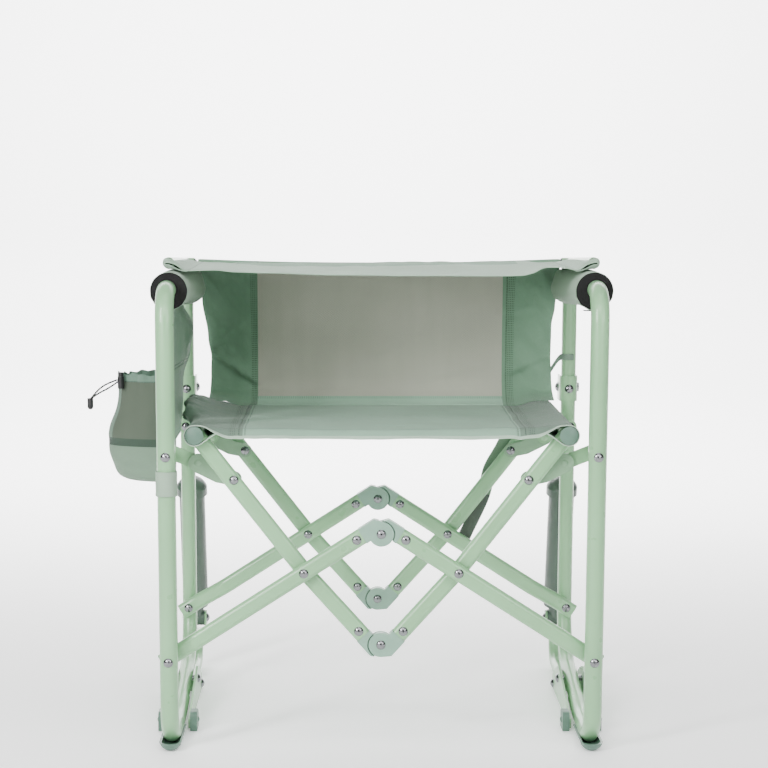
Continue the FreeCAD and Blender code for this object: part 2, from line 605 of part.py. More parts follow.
def knuckle(pivot, rivet, direction, y, own_front):
    """Moulded end of a link: a plug in the tube, a body, and a half-thick disc round the pivot.

    direction points along the tube from the rivet towards the pivot."""
    half = LINK_DEPTH / 2
    tube_end = along(rivet, direction, KNUCKLE_RIVET_EDGE + 0.2)
    centre_reach = (pivot[0] - tube_end[0]) * direction[0] + (pivot[1] - tube_end[1]) * direction[1]
    tip = along(tube_end, direction, centre_reach + SHOULDER_REACH)
    normal = (-direction[1], direction[0])
    h = LINK_HEIGHT / 2 - 0.2
    corners = [along(tube_end, normal, h), along(tip, normal, h), along(tip, normal, -h),
               along(tube_end, normal, -h), along(tube_end, normal, h)]
    body = Part.Face(Part.makePolygon([at(c, y - half) for c in corners])).extrude(Vector(0, 2 * half, 0))
    soft = [e for e in body.Edges if abs(e.BoundBox.YLength - 2 * half) < 0.01
            and abs((e.BoundBox.Center.x - tip[0]) * direction[0]
                    + (e.BoundBox.Center.z - tip[1]) * direction[1]) < 0.1]
    body = body.makeFillet(SHOULDER_R, soft)
    outer = 1 if (pivot[0] - tip[0]) * normal[0] + (pivot[1] - tip[1]) * normal[1] < 0 else -1
    shoulder = along(along(tip, direction, -SHOULDER_R), normal, outer * (h - SHOULDER_R))
    disc = tapered_y(pivot, KNUCKLE_R, shoulder, SHOULDER_R, y - half, y + half)
    other = (y, y + half + 1) if own_front else (y - half - 1, y)
    edge = KNUCKLE_GAP / 2
    other = (other[0] - edge, other[1]) if own_front else (other[0], other[1] + edge)
    clearance = cylinder_y(KNUCKLE_R + 1.6, other[0], other[1], pivot)
    plug_h = LINK_HEIGHT - 2 * TUBE_WALL - 0.4
    plug_d = LINK_DEPTH - 2 * TUBE_WALL - 0.4
    inward = Vector(-direction[0], 0, -direction[1])
    plug_start = at(tube_end, y) - inward * 2
    plug_path = Part.Wire(Part.LineSegment(plug_start, plug_start + inward * 20).toShape())
    side_dir = inward.cross(Vector(0, 1, 0))
    plug = sweep(plug_path, oval_wire(plug_start, side_dir, Vector(0, 1, 0), plug_h, plug_d))
    solid = fuse([body.fuse(disc).cut(clearance), plug])
    solid = drilled(solid, [pivot], y - 12, y + 12, PIN_R + PIN_CLEARANCE)
    return drilled(solid, [rivet], y - 12, y + 12)


def upper_knuckle(y, own_front):
    return knuckle(UPPER_KNUCKLE, knuckle_rivet_on_link1(), unit(LEG_PIVOT, CROSSING), y, own_front)


def lower_knuckle(y, own_front):
    return knuckle(LOWER_KNUCKLE, LOWER_KNUCKLE_RIVET, unit(CROSSING, LOWER_KNUCKLE_RIVET), y, own_front)


def through_link(xz, y):
    """Rivet right through one link tube."""
    half = LINK_DEPTH / 2
    return rivet_y(xz, y - half, y + half)


def link_rivets(with_knuckle_pin, pinned_crossing):
    """Rivets carried by a pair of lower links; the side with the open crossing has a short rivet."""
    half = LINK_DEPTH / 2
    rivets = []
    for y, other_y in ((FRONT_LINK1_Y, FRONT_LINK2_Y), (REAR_LINK1_Y, REAR_LINK2_Y)):
        rivets.append(through_link(knuckle_rivet_on_link1(), y))
        if pinned_crossing:
            washer = cylinder_y(7.5, y + half + 0.05, other_y - half - 0.2, CROSSING)
            rivets.append(fuse([rivet_y(CROSSING, y - half, other_y + half + 0.2), washer]))
        else:
            rivets.append(rivet_y(CROSSING, y - half, y + half, back=False))
        if with_knuckle_pin:
            rivets.append(rivet_y(UPPER_KNUCKLE, y - half - 0.1, y + half + 0.1))
    return group(rivets)


def seat_link_rivets(with_knuckle_pin):
    half = LINK_DEPTH / 2
    arm = LAYER_GAP + TOGGLE_ARM_T
    rivets = []
    reach = half + arm + WASHER_PLAY
    for y, y0, y1 in ((FRONT_LINK2_Y, -half, reach), (REAR_LINK2_Y, -reach, half)):
        rivets.append(rivet_y(BRACE_ON_LINK, y + y0, y + y1))
        rivets.append(through_link(LOWER_KNUCKLE_RIVET, y))
        if with_knuckle_pin:
            rivets.append(rivet_y(LOWER_KNUCKLE, y - half - 0.1, y + half + 0.1))
    return group(rivets)


# ---------------------------------------------------------------- toggle braces
def toggle_arms():
    """Plastic inner halves of the toggle braces, on the facing sides of the two seat links."""
    front = FRONT_LINK2_Y + LINK_DEPTH / 2 + LAYER_GAP
    rear = REAR_LINK2_Y - LINK_DEPTH / 2 - LAYER_GAP - TOGGLE_ARM_T
    arms = []
    for y, head_y, head_dir in ((front, front, -1), (rear, rear + TOGGLE_ARM_T, 1)):
        inner = tapered_y(TOGGLE_PIVOT, TOGGLE_HUB_R, TOGGLE_ELBOW, TOGGLE_ELBOW_R, y, y + TOGGLE_ARM_T)
        outer = tapered_y(TOGGLE_ELBOW, TOGGLE_ELBOW_R, BRACE_ON_LINK, TOGGLE_END_R, y, y + TOGGLE_ARM_T)
        head = dome(at(TOGGLE_PIVOT, head_y), Vector(0, head_dir, 0), 5.0, 1.8)
        arm = fuse([inner, outer, head])
        arms.append(drilled(arm, [BRACE_ON_LINK], y - 9, y + 9, PIN_R + PIN_CLEARANCE))
    return group(arms)


def toggle_straps():
    """Steel outer halves of the toggle braces."""
    front = FRONT_LINK2_Y + LINK_DEPTH / 2 + LAYER_GAP + TOGGLE_ARM_T + LAYER_GAP
    rear = REAR_LINK2_Y - LINK_DEPTH / 2 - LAYER_GAP - TOGGLE_ARM_T - LAYER_GAP - TOGGLE_STRAP_T
    straps = []
    for y, head_y, head_dir in ((front, front + TOGGLE_STRAP_T, 1), (rear, rear, -1)):
        strap = strap_y(TOGGLE_PIVOT, BRACE_PIVOT, 20.0, y, y + TOGGLE_STRAP_T)
        head = dome(at(TOGGLE_PIVOT, head_y), Vector(0, head_dir, 0), RIVET_HEAD_R, RIVET_HEAD_H)
        straps.append(drilled(fuse([strap, head]), [BRACE_PIVOT], y - 9, y + 9, PIN_R + PIN_CLEARANCE))
    return group(straps)


# ---------------------------------------------------------------- seat rails
def seat_rail():
    return ring_y(SEAT_TUBE_R, SEAT_TUBE_R - TUBE_WALL, SEAT_RAIL_Y[0], SEAT_RAIL_Y[1], SEAT_RAIL)


def seat_rail_caps():
    caps = []
    rim_t = 1.2
    for y, direction in ((SEAT_RAIL_Y[0], -1), (SEAT_RAIL_Y[1], 1)):
        base = at(SEAT_RAIL, y + direction * TOUCH_GAP)
        way = Vector(0, direction, 0)
        rim = Part.makeCylinder(SEAT_CAP_R, rim_t, base, way)
        crown = dome(base + way * rim_t, way, SEAT_CAP_R, 2.2)
        plug = Part.makeCylinder(SEAT_TUBE_R - TUBE_WALL - 0.15, 14, base + way * 0.5, way * -1)
        caps.append(fuse([rim, crown, plug]))
    return group(caps)


# ---------------------------------------------------------------- folding back
def back_tube():
    """Upper back tube with the hinge eye at its rear end, folded forward over the armrest."""
    pivot = (POST_Y, BACK_PIVOT_Z)
    tube = ring_y(BACK_TUBE_R, BACK_TUBE_R - TUBE_WALL, BACK_TIP_Y, POST_Y - 8, (SIDE_X, BACK_PIVOT_Z))
    eye_half = EAR_X[0] - 0.3
    eye = cylinder_x(BACK_EYE_R, SIDE_X - eye_half, SIDE_X + eye_half, pivot)
    plug = cylinder_y(BACK_TUBE_R - TUBE_WALL, POST_Y - 26, POST_Y - 4, (SIDE_X, BACK_PIVOT_Z))
    arm = fuse([tube, eye, plug]).cut(cylinder_x(PIN_R + PIN_CLEARANCE, SIDE_X - 20, SIDE_X + 20, pivot))
    return folded(arm)


# ---------------------------------------------------------------- fabric, as plain solids
def seat_fabric():
    """Panel between the rails with a sleeve round each rail."""
    sleeve_y = (SEAT_RAIL_Y[0] + 3, SEAT_RAIL_Y[1] - 2)
    inner = SEAT_TUBE_R + SLEEVE_SLACK
    outer = inner + FABRIC
    reach = SEAT_RAIL[0] - inner + 4
    panel = box((-reach, reach), sleeve_y, (SEAT_RAIL[1] - 2, SEAT_RAIL[1] + 2))
    rails = [SEAT_RAIL, (-SEAT_RAIL[0], SEAT_RAIL[1])]
    solid = fuse([panel] + [cylinder_y(outer, *sleeve_y, rail) for rail in rails])
    cuts = [cylinder_y(inner, *sleeve_y, rail) for rail in rails]
    notch = LINK_DEPTH / 2 + 1.5
    notch_z = (SEAT_RAIL[1] - 30, SEAT_RAIL[1] + 8)
    for sign in (-1, 1):
        x = sorted((sign * (SEAT_RAIL[0] - 30), sign * (SEAT_RAIL[0] + 18)))
        cuts += [box(x, (y - notch, y + notch), notch_z) for y in (FRONT_LINK2_Y, REAR_LINK2_Y)]
    return solid.cut(cuts)


def lower_back_fabric():
    """Back panel from the seat up to the fold, free of the posts."""
    low, middle, high = [at(corner, POST_Y - 2) for corner in LOWER_BACK_EDGE]
    low_left, high_left = [at((-corner[0], corner[1]), POST_Y - 2) for corner in LOWER_BACK_EDGE[::2]]
    arc = Part.Arc(low, middle, high).toShape()
    top = Part.LineSegment(high, high_left).toShape()
    bottom = Part.LineSegment(low_left, low).toShape()
    return Part.Face(Part.Wire([arc, top, mirrored(arc), bottom])).extrude(Vector(0, 4, 0))


def upper_back_fabric():
    """Folded upper back: a panel with a closed sleeve round each back tube."""
    bore_r = BACK_TUBE_R + SLEEVE_SLACK
    y = (BACK_TIP_Y - 4, POST_Y - 26)
    reach = SIDE_X - bore_r + 0.5
    panel = box((-reach, reach), y, (BACK_PIVOT_Z - 2.5, BACK_PIVOT_Z + 1.5))
    tubes = [(SIDE_X, BACK_PIVOT_Z), (-SIDE_X, BACK_PIVOT_Z)]
    solid = fuse([panel] + [cylinder_y(BACK_SLEEVE_R, *y, t) for t in tubes])
    return folded(solid.cut([cylinder_y(bore_r, y[0] + 2, y[1], t) for t in tubes]))


# ---------------------------------------------------------------- cup holder on the left side
def bag_section(z, x_out, half_depth, inset):
    """Half-oval outline: flat against the side frame, curved on the outside."""
    x_in = BAG_X[1] - inset
    centre = Vector(x_in, BAG_Y, z)
    nose = Vector(x_out + inset, BAG_Y, z)
    oval = Part.Ellipse(nose, Vector(x_in, BAG_Y + half_depth - inset, z), centre)
    half = Part.ArcOfEllipse(oval, -math.pi / 2, math.pi / 2).toShape()
    return Part.Wire([half, Part.LineSegment(half.lastVertex().Point, half.firstVertex().Point).toShape()])


def bag_solid(inset, z_low, z_high):
    """Lofted bag between two heights; inset shrinks it to the inside of the cloth."""
    levels = [z for z, x_out, half in BAG_SECTIONS]
    levels[0] = z_low
    levels[-1] = z_high
    wires = [bag_section(level, x_out, half, inset)
             for level, (z, x_out, half) in zip(levels, BAG_SECTIONS)]
    return Part.makeLoft(wires, True, True)


def cup_bag():
    """Open-topped bag that holds a bottle or can."""
    low, high = BAG_SECTIONS[0][0], BAG_SECTIONS[-1][0]
    inside = bag_solid(BAG_WALL, low + 1, high + 2)
    return bag_solid(0.0, low, high).cut(inside)


def organizer_panel():
    """Cloth panel hanging from the armrest, with the webbing loop round the front leg."""
    panel_z = (405, ARM_PAD_XZ[1] - ARM_PAD_R - ARM_COVER_T - 0.6)
    panel = box(PANEL_X, (58, 328), panel_z)
    lower_corners = [e for e in panel.Edges if abs(e.BoundBox.XLength - 2.0) < 0.01 and e.BoundBox.ZMax < 406]
    panel = panel.makeFillet(60.0, lower_corners)
    loop_inner = FRONT_R + SLEEVE_SLACK
    low, high = LEG_LOOP_Z
    loop = Part.makeCylinder(loop_inner + FABRIC, high - low, Vector(-SIDE_X, 0, low))
    loop = loop.cut(Part.makeCylinder(loop_inner, high - low, Vector(-SIDE_X, 0, low)))
    tab = box(PANEL_X, (13.5, 90), (low + 2, high - 2))
    link = box(PANEL_X, (70, 150), (low + 4, 480))
    return fuse([panel, loop, tab, link])


def cord_radii(points):
    """Bend radius at each inner point of a cord's route."""
    radii = []
    for a, b, c in zip(points, points[1:], points[2:]):
        turn = (b - a).getAngle(c - b)
        radii.append(0.45 * min((b - a).Length, (c - b).Length) / math.tan(turn / 2))
    return radii


def drawcord(points):
    """One free strand of the bag's drawcord."""
    return round_bar(points, cord_radii(points), CORD_R)


def cord_lock():
    """Spring toggle that grips the drawcord at the bag's mouth."""
    barrel = Part.makeCylinder(CORD_LOCK_R, 17, CORD_LOCK)
    button = Part.makeCylinder(CORD_LOCK_R - 0.9, 22, CORD_LOCK + Vector(0, 0, 1))
    return fuse([barrel, button])


def cord_end():
    """Moulded end that joins the two strands."""
    return fuse([Part.makeCylinder(CORD_END_R, 12, CORD_END), Part.makeSphere(CORD_END_R, CORD_END)])


def carry_handle():
    """Webbing handle that hangs from the seat's rear edge behind the scissor."""
    runs = zip(HANDLE_POINTS, HANDLE_POINTS[1:])
    return fuse([strap_y(a, b, HANDLE_WIDTH, *HANDLE_Y) for a, b in runs])


# ---------------------------------------------------------------- the whole chair
def both_sides():
    """Every paired node as right shape and left shape."""
    pairs = {
        "front_frame_tube": front_frame_tube(), "rear_post_tube": rear_post_tube(),
        "front_foot_pad": front_foot_pad(), "arm_foam": arm_foam(), "arm_cover": arm_cover(),
        "strut_bracket": strut_bracket(), "frame_rivets": frame_rivets(),
        "base_side_plates": base_side_plates(), "base_tube": base_tube(), "base_feet": base_feet(),
        "base_bolts": base_bolts(), "strut_cylinder": strut_cylinder(), "strut_rod": strut_rod(),
        "strut_spring": strut_spring(),
        "lower_links": group([lower_link(FRONT_LINK1_Y, FRONT_LINK1_Y),
                              lower_link(REAR_LINK1_Y, REAR_LINK1_END_Y)]),
        "seat_links": group([seat_link(FRONT_LINK2_Y), seat_link(REAR_LINK2_Y)]),
        "seat_rail": seat_rail(), "seat_rail_caps": seat_rail_caps(),
        "toggle_arms": toggle_arms(), "toggle_straps": toggle_straps(), "back_tube": back_tube()}
    nodes = {}
    for name, shape in pairs.items():
        nodes[name + "_right"] = shape
        nodes[name + "_left"] = mirrored(shape)
    return nodes


def handed():
    """Nodes that differ from side to side: knuckle halves and the rivets that pin them."""
    right_upper = group([upper_knuckle(y, False) for y in (FRONT_LINK1_Y, REAR_LINK1_Y)])
    left_upper = group([upper_knuckle(y, True) for y in (FRONT_LINK1_Y, REAR_LINK1_Y)])
    right_lower = group([lower_knuckle(y, True) for y in (FRONT_LINK2_Y, REAR_LINK2_Y)])
    left_lower = group([lower_knuckle(y, False) for y in (FRONT_LINK2_Y, REAR_LINK2_Y)])
    return {
        "upper_knuckles_right": right_upper, "upper_knuckles_left": mirrored(left_upper),
        "lower_knuckles_right": right_lower, "lower_knuckles_left": mirrored(left_lower),
        "link_rivets_right": link_rivets(True, True), "link_rivets_left": mirrored(link_rivets(False, False)),
        "seat_link_rivets_right": seat_link_rivets(True),
        "seat_link_rivets_left": mirrored(seat_link_rivets(False))}


def soft_goods():
    return {
        "seat_fabric": seat_fabric(), "lower_back_fabric": lower_back_fabric(),
        "upper_back_fabric": upper_back_fabric(), "cup_bag": cup_bag(), "organizer_panel": organizer_panel(),
        "carry_handle": carry_handle(), "cord_lock": cord_lock(), "cord_end": cord_end(),
        "drawcord_upper": drawcord(CORD_UPPER), "drawcord_lower": drawcord(CORD_LOWER)}


def origin_shift(nodes):
    """Moves the origin to the middle of the chair's footprint box, on the floor."""
    whole = Part.makeCompound([shape for name, shape in nodes.items() if name not in CORD_NODES])
    whole = whole.optimalBoundingBox(False, False)
    return Vector(-whole.Center.x, -whole.Center.y, -whole.ZMin)


if __name__ == "__main__":
    nodes = both_sides()
    nodes.update(handed())
    nodes.update(soft_goods())
    shift = origin_shift(nodes)
    print("nodes", len(nodes), "shift", [round(v, 3) for v in shift])
    for name, shape in nodes.items():
        moved = shape.translated(shift)
        moved.exportStep("parts/" + name + ".step")
        if not moved.isValid() or not moved.Solids:
            print("bad solid", name)
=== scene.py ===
"""Looks of the side-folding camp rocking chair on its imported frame. Metres, +Z up, front towards -Y."""

import math

import bpy
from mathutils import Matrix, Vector, noise


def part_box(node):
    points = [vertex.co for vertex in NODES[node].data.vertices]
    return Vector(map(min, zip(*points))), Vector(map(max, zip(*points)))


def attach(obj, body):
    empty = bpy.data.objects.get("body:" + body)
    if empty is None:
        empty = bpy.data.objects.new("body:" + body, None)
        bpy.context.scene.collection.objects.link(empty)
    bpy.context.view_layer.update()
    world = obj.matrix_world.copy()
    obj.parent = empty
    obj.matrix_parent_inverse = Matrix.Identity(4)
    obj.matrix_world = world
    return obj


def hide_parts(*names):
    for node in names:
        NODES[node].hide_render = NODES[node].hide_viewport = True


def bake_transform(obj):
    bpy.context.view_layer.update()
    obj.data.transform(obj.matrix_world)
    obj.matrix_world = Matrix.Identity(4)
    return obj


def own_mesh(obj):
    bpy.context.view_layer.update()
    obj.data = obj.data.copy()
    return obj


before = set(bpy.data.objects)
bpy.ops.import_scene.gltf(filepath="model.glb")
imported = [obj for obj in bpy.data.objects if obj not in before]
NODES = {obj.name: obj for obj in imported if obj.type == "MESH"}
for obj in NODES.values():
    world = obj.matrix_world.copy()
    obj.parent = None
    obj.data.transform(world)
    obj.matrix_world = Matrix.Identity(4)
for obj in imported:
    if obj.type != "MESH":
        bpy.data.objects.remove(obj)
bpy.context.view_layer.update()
MM = 0.001

# ---------------------------------------------------------------- where the chair is
right_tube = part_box("front_frame_tube_right")
left_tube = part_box("front_frame_tube_left")
MID_X = (right_tube[0].x + left_tube[1].x) / 2
FRONT_TUBE_R = 12.5       # millimetres
LEG_Y = right_tube[0].y + FRONT_TUBE_R * MM

# Millimetres from the chair's middle, the front legs' plane and the floor.
SIDE_X = 288.5            # legs and posts
POST_Y = 370.0            # rear posts
RAIL = (252.0, 432.0)     # X and Z of a seat rail's centre line
HINGE_Z = 649.5           # hinge of the upper back
BACK_TILT = math.radians(2.2)     # the folded back rises towards the front
ARM_PAD = (285.9, 624.0)          # X and Z of an arm pad's centre line
SEAT_Z = 440.6            # top of the level seat cloth


def place(x, y, z):
    """Point in the row frame from millimetres off the chair's middle, front legs and floor."""
    return Vector((MID_X + x * MM, LEG_Y + y * MM, z * MM))


def back_tube_z(y):
    """Height of the folded back tubes' centre line."""
    return HINGE_Z + (POST_Y - y) * math.tan(BACK_TILT)


def smooth(low, high, value):
    """0 to 1 as value goes from low to high, with no corners; low may be the larger."""
    t = min(max((value - low) / (high - low), 0.0), 1.0)
    return t * t * (3 - 2 * t)


def table(rows, key):
    """Value at key from (key, value) rows in rising order, rounded between them."""
    if key <= rows[0][0]:
        return rows[0][1]
    for (low, a), (high, b) in zip(rows, rows[1:]):
        if key <= high:
            return a + (b - a) * smooth(low, high, key)
    return rows[-1][1]


def wrinkle(x, y, z, size, seed=0.0):
    """Smooth seeded noise from -1 to 1 with features of the given size, all in millimetres."""
    return noise.noise(Vector((x / size + seed, y / size - seed * 0.7, z / size + seed * 1.3)))


# ---------------------------------------------------------------- camera
def add_camera():
    """Camera in front of the chair, a little left of its middle, looking slightly down."""
    data = bpy.data.cameras.new("camera")
    data.lens = 93.75
    data.sensor_width = 36.0
    data.shift_x = 0.0486
    data.shift_y = 0.160
    camera = bpy.data.objects.new("camera", data)
    camera.location = place(-47.0, -2650.0, 765.0)
    camera.rotation_euler = (math.radians(80.85), 0.0, 0.0)
    bpy.context.scene.collection.objects.link(camera)
    bpy.context.scene.camera = camera


add_camera()


# ---------------------------------------------------------------- material building blocks
class Shader:
    """A principled material with helpers that add and link nodes."""

    def __init__(self, name, color, roughness, metallic=0.0, specular=0.5):
        self.material = bpy.data.materials.new(name)
        self.material.use_nodes = True
        self.tree = self.material.node_tree
        self.main = self.tree.nodes["Principled BSDF"]
        self.main.inputs["Base Color"].default_value = (*color, 1.0)
        self.main.inputs["Roughness"].default_value = roughness
        self.main.inputs["Metallic"].default_value = metallic
        self.main.inputs["Specular IOR Level"].default_value = specular

    def link(self, source, target):
        if isinstance(source, (int, float)):
            target.default_value = source
        else:
            self.tree.links.new(source, target)

    def math(self, operation, a, b=0.0, c=None):
        node = self.tree.nodes.new("ShaderNodeMath")
        node.operation = operation
        self.link(a, node.inputs[0])
        self.link(b, node.inputs[1])
        if c is not None:
            self.link(c, node.inputs[2])
        return node.outputs[0]

    def coordinates(self, kind):
        return self.tree.nodes.new("ShaderNodeTexCoord").outputs[kind]

    def noise(self, scale, detail=3.0, stretch=None, kind="Object"):
        """Noise with `scale` features to the metre, from 0 to 1."""
        source = self.coordinates(kind)
        if stretch:
            mapping = self.tree.nodes.new("ShaderNodeMapping")
            mapping.inputs["Scale"].default_value = stretch
            self.link(source, mapping.inputs["Vector"])
            source = mapping.outputs["Vector"]
        node = self.tree.nodes.new("ShaderNodeTexNoise")
        node.inputs["Scale"].default_value = scale
        node.inputs["Detail"].default_value = detail
        self.link(source, node.inputs["Vector"])
        return node.outputs["Fac"]

    def ramp(self, source, low, high, out_low=0.0, out_high=1.0):
        node = self.tree.nodes.new("ShaderNodeMapRange")
        node.inputs["From Min"].default_value = low
        node.inputs["From Max"].default_value = high
        node.inputs["To Min"].default_value = out_low
        node.inputs["To Max"].default_value = out_high
        self.link(source, node.inputs["Value"])
        return node.outputs["Result"]

    def mix(self, factor, a, b):
        """Colour a to colour b by factor; a colour may be a tuple or a socket."""
        node = self.tree.nodes.new("ShaderNodeMix")
        node.data_type = "RGBA"
        self.link(factor, node.inputs["Factor"])
        for value, socket in ((a, node.inputs["A"]), (b, node.inputs["B"])):
            if isinstance(value, tuple):
                socket.default_value = (*value, 1.0)
            else:
                self.link(value, socket)
        return node.outputs["Result"]

    def bump(self, height, distance, strength=1.0):
        node = self.tree.nodes.new("ShaderNodeBump")
        node.inputs["Strength"].default_value = strength
        node.inputs["Distance"].default_value = distance
        self.link(height, node.inputs["Height"])
        last = self.main.inputs["Normal"]
        if last.is_linked:
            self.link(last.links[0].from_socket, node.inputs["Normal"])
        self.link(node.outputs["Normal"], last)

    def paint(self, color):
        self.link(color, self.main.inputs["Base Color"])


def shade(color, factor):
    """The colour times the factor, no brighter than 1."""
    return tuple(min(channel * factor, 1.0) for channel in color)


def painted_metal(name, color, roughness=0.32):
    """Powder coat: fine orange peel, slow tone changes and small scuffs."""
    s = Shader(name, color, roughness)
    tone = s.ramp(s.noise(9.0, 2.0), 0.35, 0.65)
    scuff = s.ramp(s.noise(70.0, 4.0, (1.0, 1.0, 0.35)), 0.66, 0.74)
    base = s.mix(tone, shade(color, 0.955), shade(color, 1.035))
    s.paint(s.mix(s.math("MULTIPLY", scuff, 0.22), base, shade(color, 0.72)))
    gloss = s.ramp(s.noise(35.0, 3.0), 0.3, 0.7, roughness - 0.05, roughness + 0.09)
    s.link(gloss, s.main.inputs["Roughness"])
    s.bump(s.noise(900.0, 2.0), 0.00012, 0.35)
    s.main.inputs["Coat Weight"].default_value = 0.3
    s.main.inputs["Coat Roughness"].default_value = 0.12
    return s.material


def bright_metal(name, color, roughness=0.2):
    """Plated steel with fine scratches and faint handling marks."""
    s = Shader(name, color, roughness, metallic=1.0)
    marks = s.noise(260.0, 4.0)
    s.link(s.ramp(marks, 0.3, 0.75, roughness - 0.07, roughness + 0.2), s.main.inputs["Roughness"])
    s.paint(s.mix(s.ramp(s.noise(120.0), 0.55, 0.75), color, shade(color, 0.62)))
    s.bump(s.noise(1500.0, 3.0, (1.0, 1.0, 5.0)), 0.00004, 0.4)
    return s.material


def moulded_plastic(name, color, roughness=0.5, grain=1400.0):
    """Moulded plastic: fine grain, slight mottling and rubbed highlights."""
    s = Shader(name, color, roughness, specular=0.45)
    tone = s.ramp(s.noise(45.0, 3.0), 0.35, 0.7)
    s.paint(s.mix(tone, shade(color, 0.93), shade(color, 1.05)))
    gloss = s.ramp(s.noise(90.0, 4.0), 0.3, 0.7, roughness - 0.08, roughness + 0.08)
    s.link(gloss, s.main.inputs["Roughness"])
    s.bump(s.noise(grain, 2.0), 0.0001, 0.4)
    return s.material


def foam(name, color):
    """Closed-cell foam: open pores of two sizes."""
    s = Shader(name, color, 0.88, specular=0.25)
    cells = s.tree.nodes.new("ShaderNodeTexVoronoi")
    cells.inputs["Scale"].default_value = 750.0
    s.link(s.coordinates("Object"), cells.inputs["Vector"])
    pores = s.ramp(cells.outputs["Distance"], 0.1, 0.55)
    s.paint(s.mix(pores, shade(color, 0.5), shade(color, 1.6)))
    s.bump(pores, 0.0004, 0.7)
    s.bump(s.noise(160.0, 3.0), 0.0005, 0.4)
    return s.material


def uv_axes(s):
    """The cloth's own coordinates in metres, as two sockets."""
    node = s.tree.nodes.new("ShaderNodeSeparateXYZ")
    s.link(s.coordinates("UV"), node.inputs[0])
    return node.outputs["X"], node.outputs["Y"]


def stitch_mask(s, across, along, line, pitch=0.0042, width=0.0009):
    """1 on the stitches of one sewn row at across = line, 0 elsewhere."""
    off = s.math("ABSOLUTE", s.math("SUBTRACT", across, line))
    near = s.ramp(off, width, width * 0.45)
    dash = s.ramp(s.math("PINGPONG", along, pitch / 2), pitch * 0.08, pitch * 0.14)
    return s.math("MULTIPLY", near, dash)


def ladder_mask(s, across, along, line, half):
    """1 on the dots of a wide zigzag seam that reaches `half` to each side of the line."""
    off = s.math("ABSOLUTE", s.math("SUBTRACT", across, line))
    near = s.ramp(off, half, half * 0.92)
    step = s.ramp(s.math("PINGPONG", along, 0.00165), 0.0007, 0.00095)
    column = s.ramp(s.math("PINGPONG", across, 0.00125), 0.00045, 0.0007)
    return s.math("MULTIPLY", near, s.math("MULTIPLY", step, column))


def furrow_and_shade_mask(s, across, line, width=0.0022):
    """Soft groove that a sewn row pulls into the cloth; woven also darkens it with painted shade."""
    off = s.math("ABSOLUTE", s.math("SUBTRACT", across, line))
    return s.ramp(off, width, 0.0)


def woven(name, color, pitch=0.0011, rows_u=(), rows_v=(), ladders_u=(), ladders_v=(), puckers=0.0,
          roughness=0.82):
    """Plain-weave cloth with sewn rows, and wide zigzag seams (line, half width), along U and V."""
    s = Shader(name, color, roughness, specular=0.3)
    u, v = uv_axes(s)
    turn = 2 * math.pi / pitch
    weave = s.math("MULTIPLY", s.math("SINE", s.math("MULTIPLY", u, turn)),
                   s.math("SINE", s.math("MULTIPLY", v, turn)))
    tone = s.ramp(s.noise(7.0, 3.0), 0.3, 0.7)
    base = s.mix(tone, shade(color, 0.92), shade(color, 1.07))
    fleck = s.ramp(s.noise(420.0, 2.0, (1.0, 1.0, 3.0)), 0.35, 0.7)
    base = s.mix(s.math("MULTIPLY", fleck, 0.35), base, shade(color, 0.84))
    base = s.mix(s.ramp(weave, -1.0, 1.0, 0.0, 0.28), base, shade(color, 0.72))
    for across, along, lines in ((u, v, rows_u), (v, u, rows_v)):
        for line in lines:
            furrow_and_shade = furrow_and_shade_mask(s, across, line)
            stitches = stitch_mask(s, across, along, line)
            # Painted shade: each sewn row's groove is darkened, besides its bump below.
            base = s.mix(s.math("MULTIPLY", furrow_and_shade, 0.45), base, shade(color, 0.62))
            base = s.mix(s.math("MULTIPLY", stitches, 0.9), base, shade(color, 0.42))
            s.bump(furrow_and_shade, -0.0009, 0.7)
    for across, along, ladders in ((u, v, ladders_u), (v, u, ladders_v)):
        for line, half in ladders:
            dots = ladder_mask(s, across, along, line, half)
            base = s.mix(s.math("MULTIPLY", dots, 0.85), base, shade(color, 0.34))
            s.bump(dots, -0.0006, 0.6)
    s.paint(base)
    s.bump(weave, 0.00022, 0.5)
    if puckers:
        s.bump(s.noise(55.0, 3.0), puckers, 0.7)
        s.bump(s.noise(17.0, 2.0), puckers * 3.0, 0.5)
    s.main.inputs["Sheen Weight"].default_value = 0.12
    s.main.inputs["Sheen Roughness"].default_value = 0.5
    return s.material


def netting(name, color, pitch=0.0026, hole=0.5):
    """Knitted open mesh: rows of small round holes between smooth cords."""
    s = Shader(name, color, 0.7, specular=0.3)
    u, v = uv_axes(s)
    turn = math.pi / pitch
    sum_uv = s.math("ADD", s.math("MULTIPLY", u, 1.15), v)
    difference = s.math("SUBTRACT", s.math("MULTIPLY", u, 1.15), v)
    cells = s.math("MULTIPLY", s.math("SINE", s.math("MULTIPLY", sum_uv, turn)),
                   s.math("SINE", s.math("MULTIPLY", difference, turn)))
    holes = s.ramp(s.math("ABSOLUTE", cells), 0.45, 0.75)
    tone = s.ramp(s.noise(6.0, 3.0), 0.3, 0.7)
    base = s.mix(tone, shade(color, 0.94), shade(color, 1.06))
    streak = s.ramp(s.noise(60.0, 3.0, (1.0, 1.0, 0.08)), 0.35, 0.7)
    base = s.mix(s.math("MULTIPLY", streak, 0.3), base, shade(color, 0.86))
    s.paint(s.mix(s.math("MULTIPLY", holes, hole), base, shade(color, 0.42)))
    s.bump(holes, -0.0004, 0.8)
    return s.material


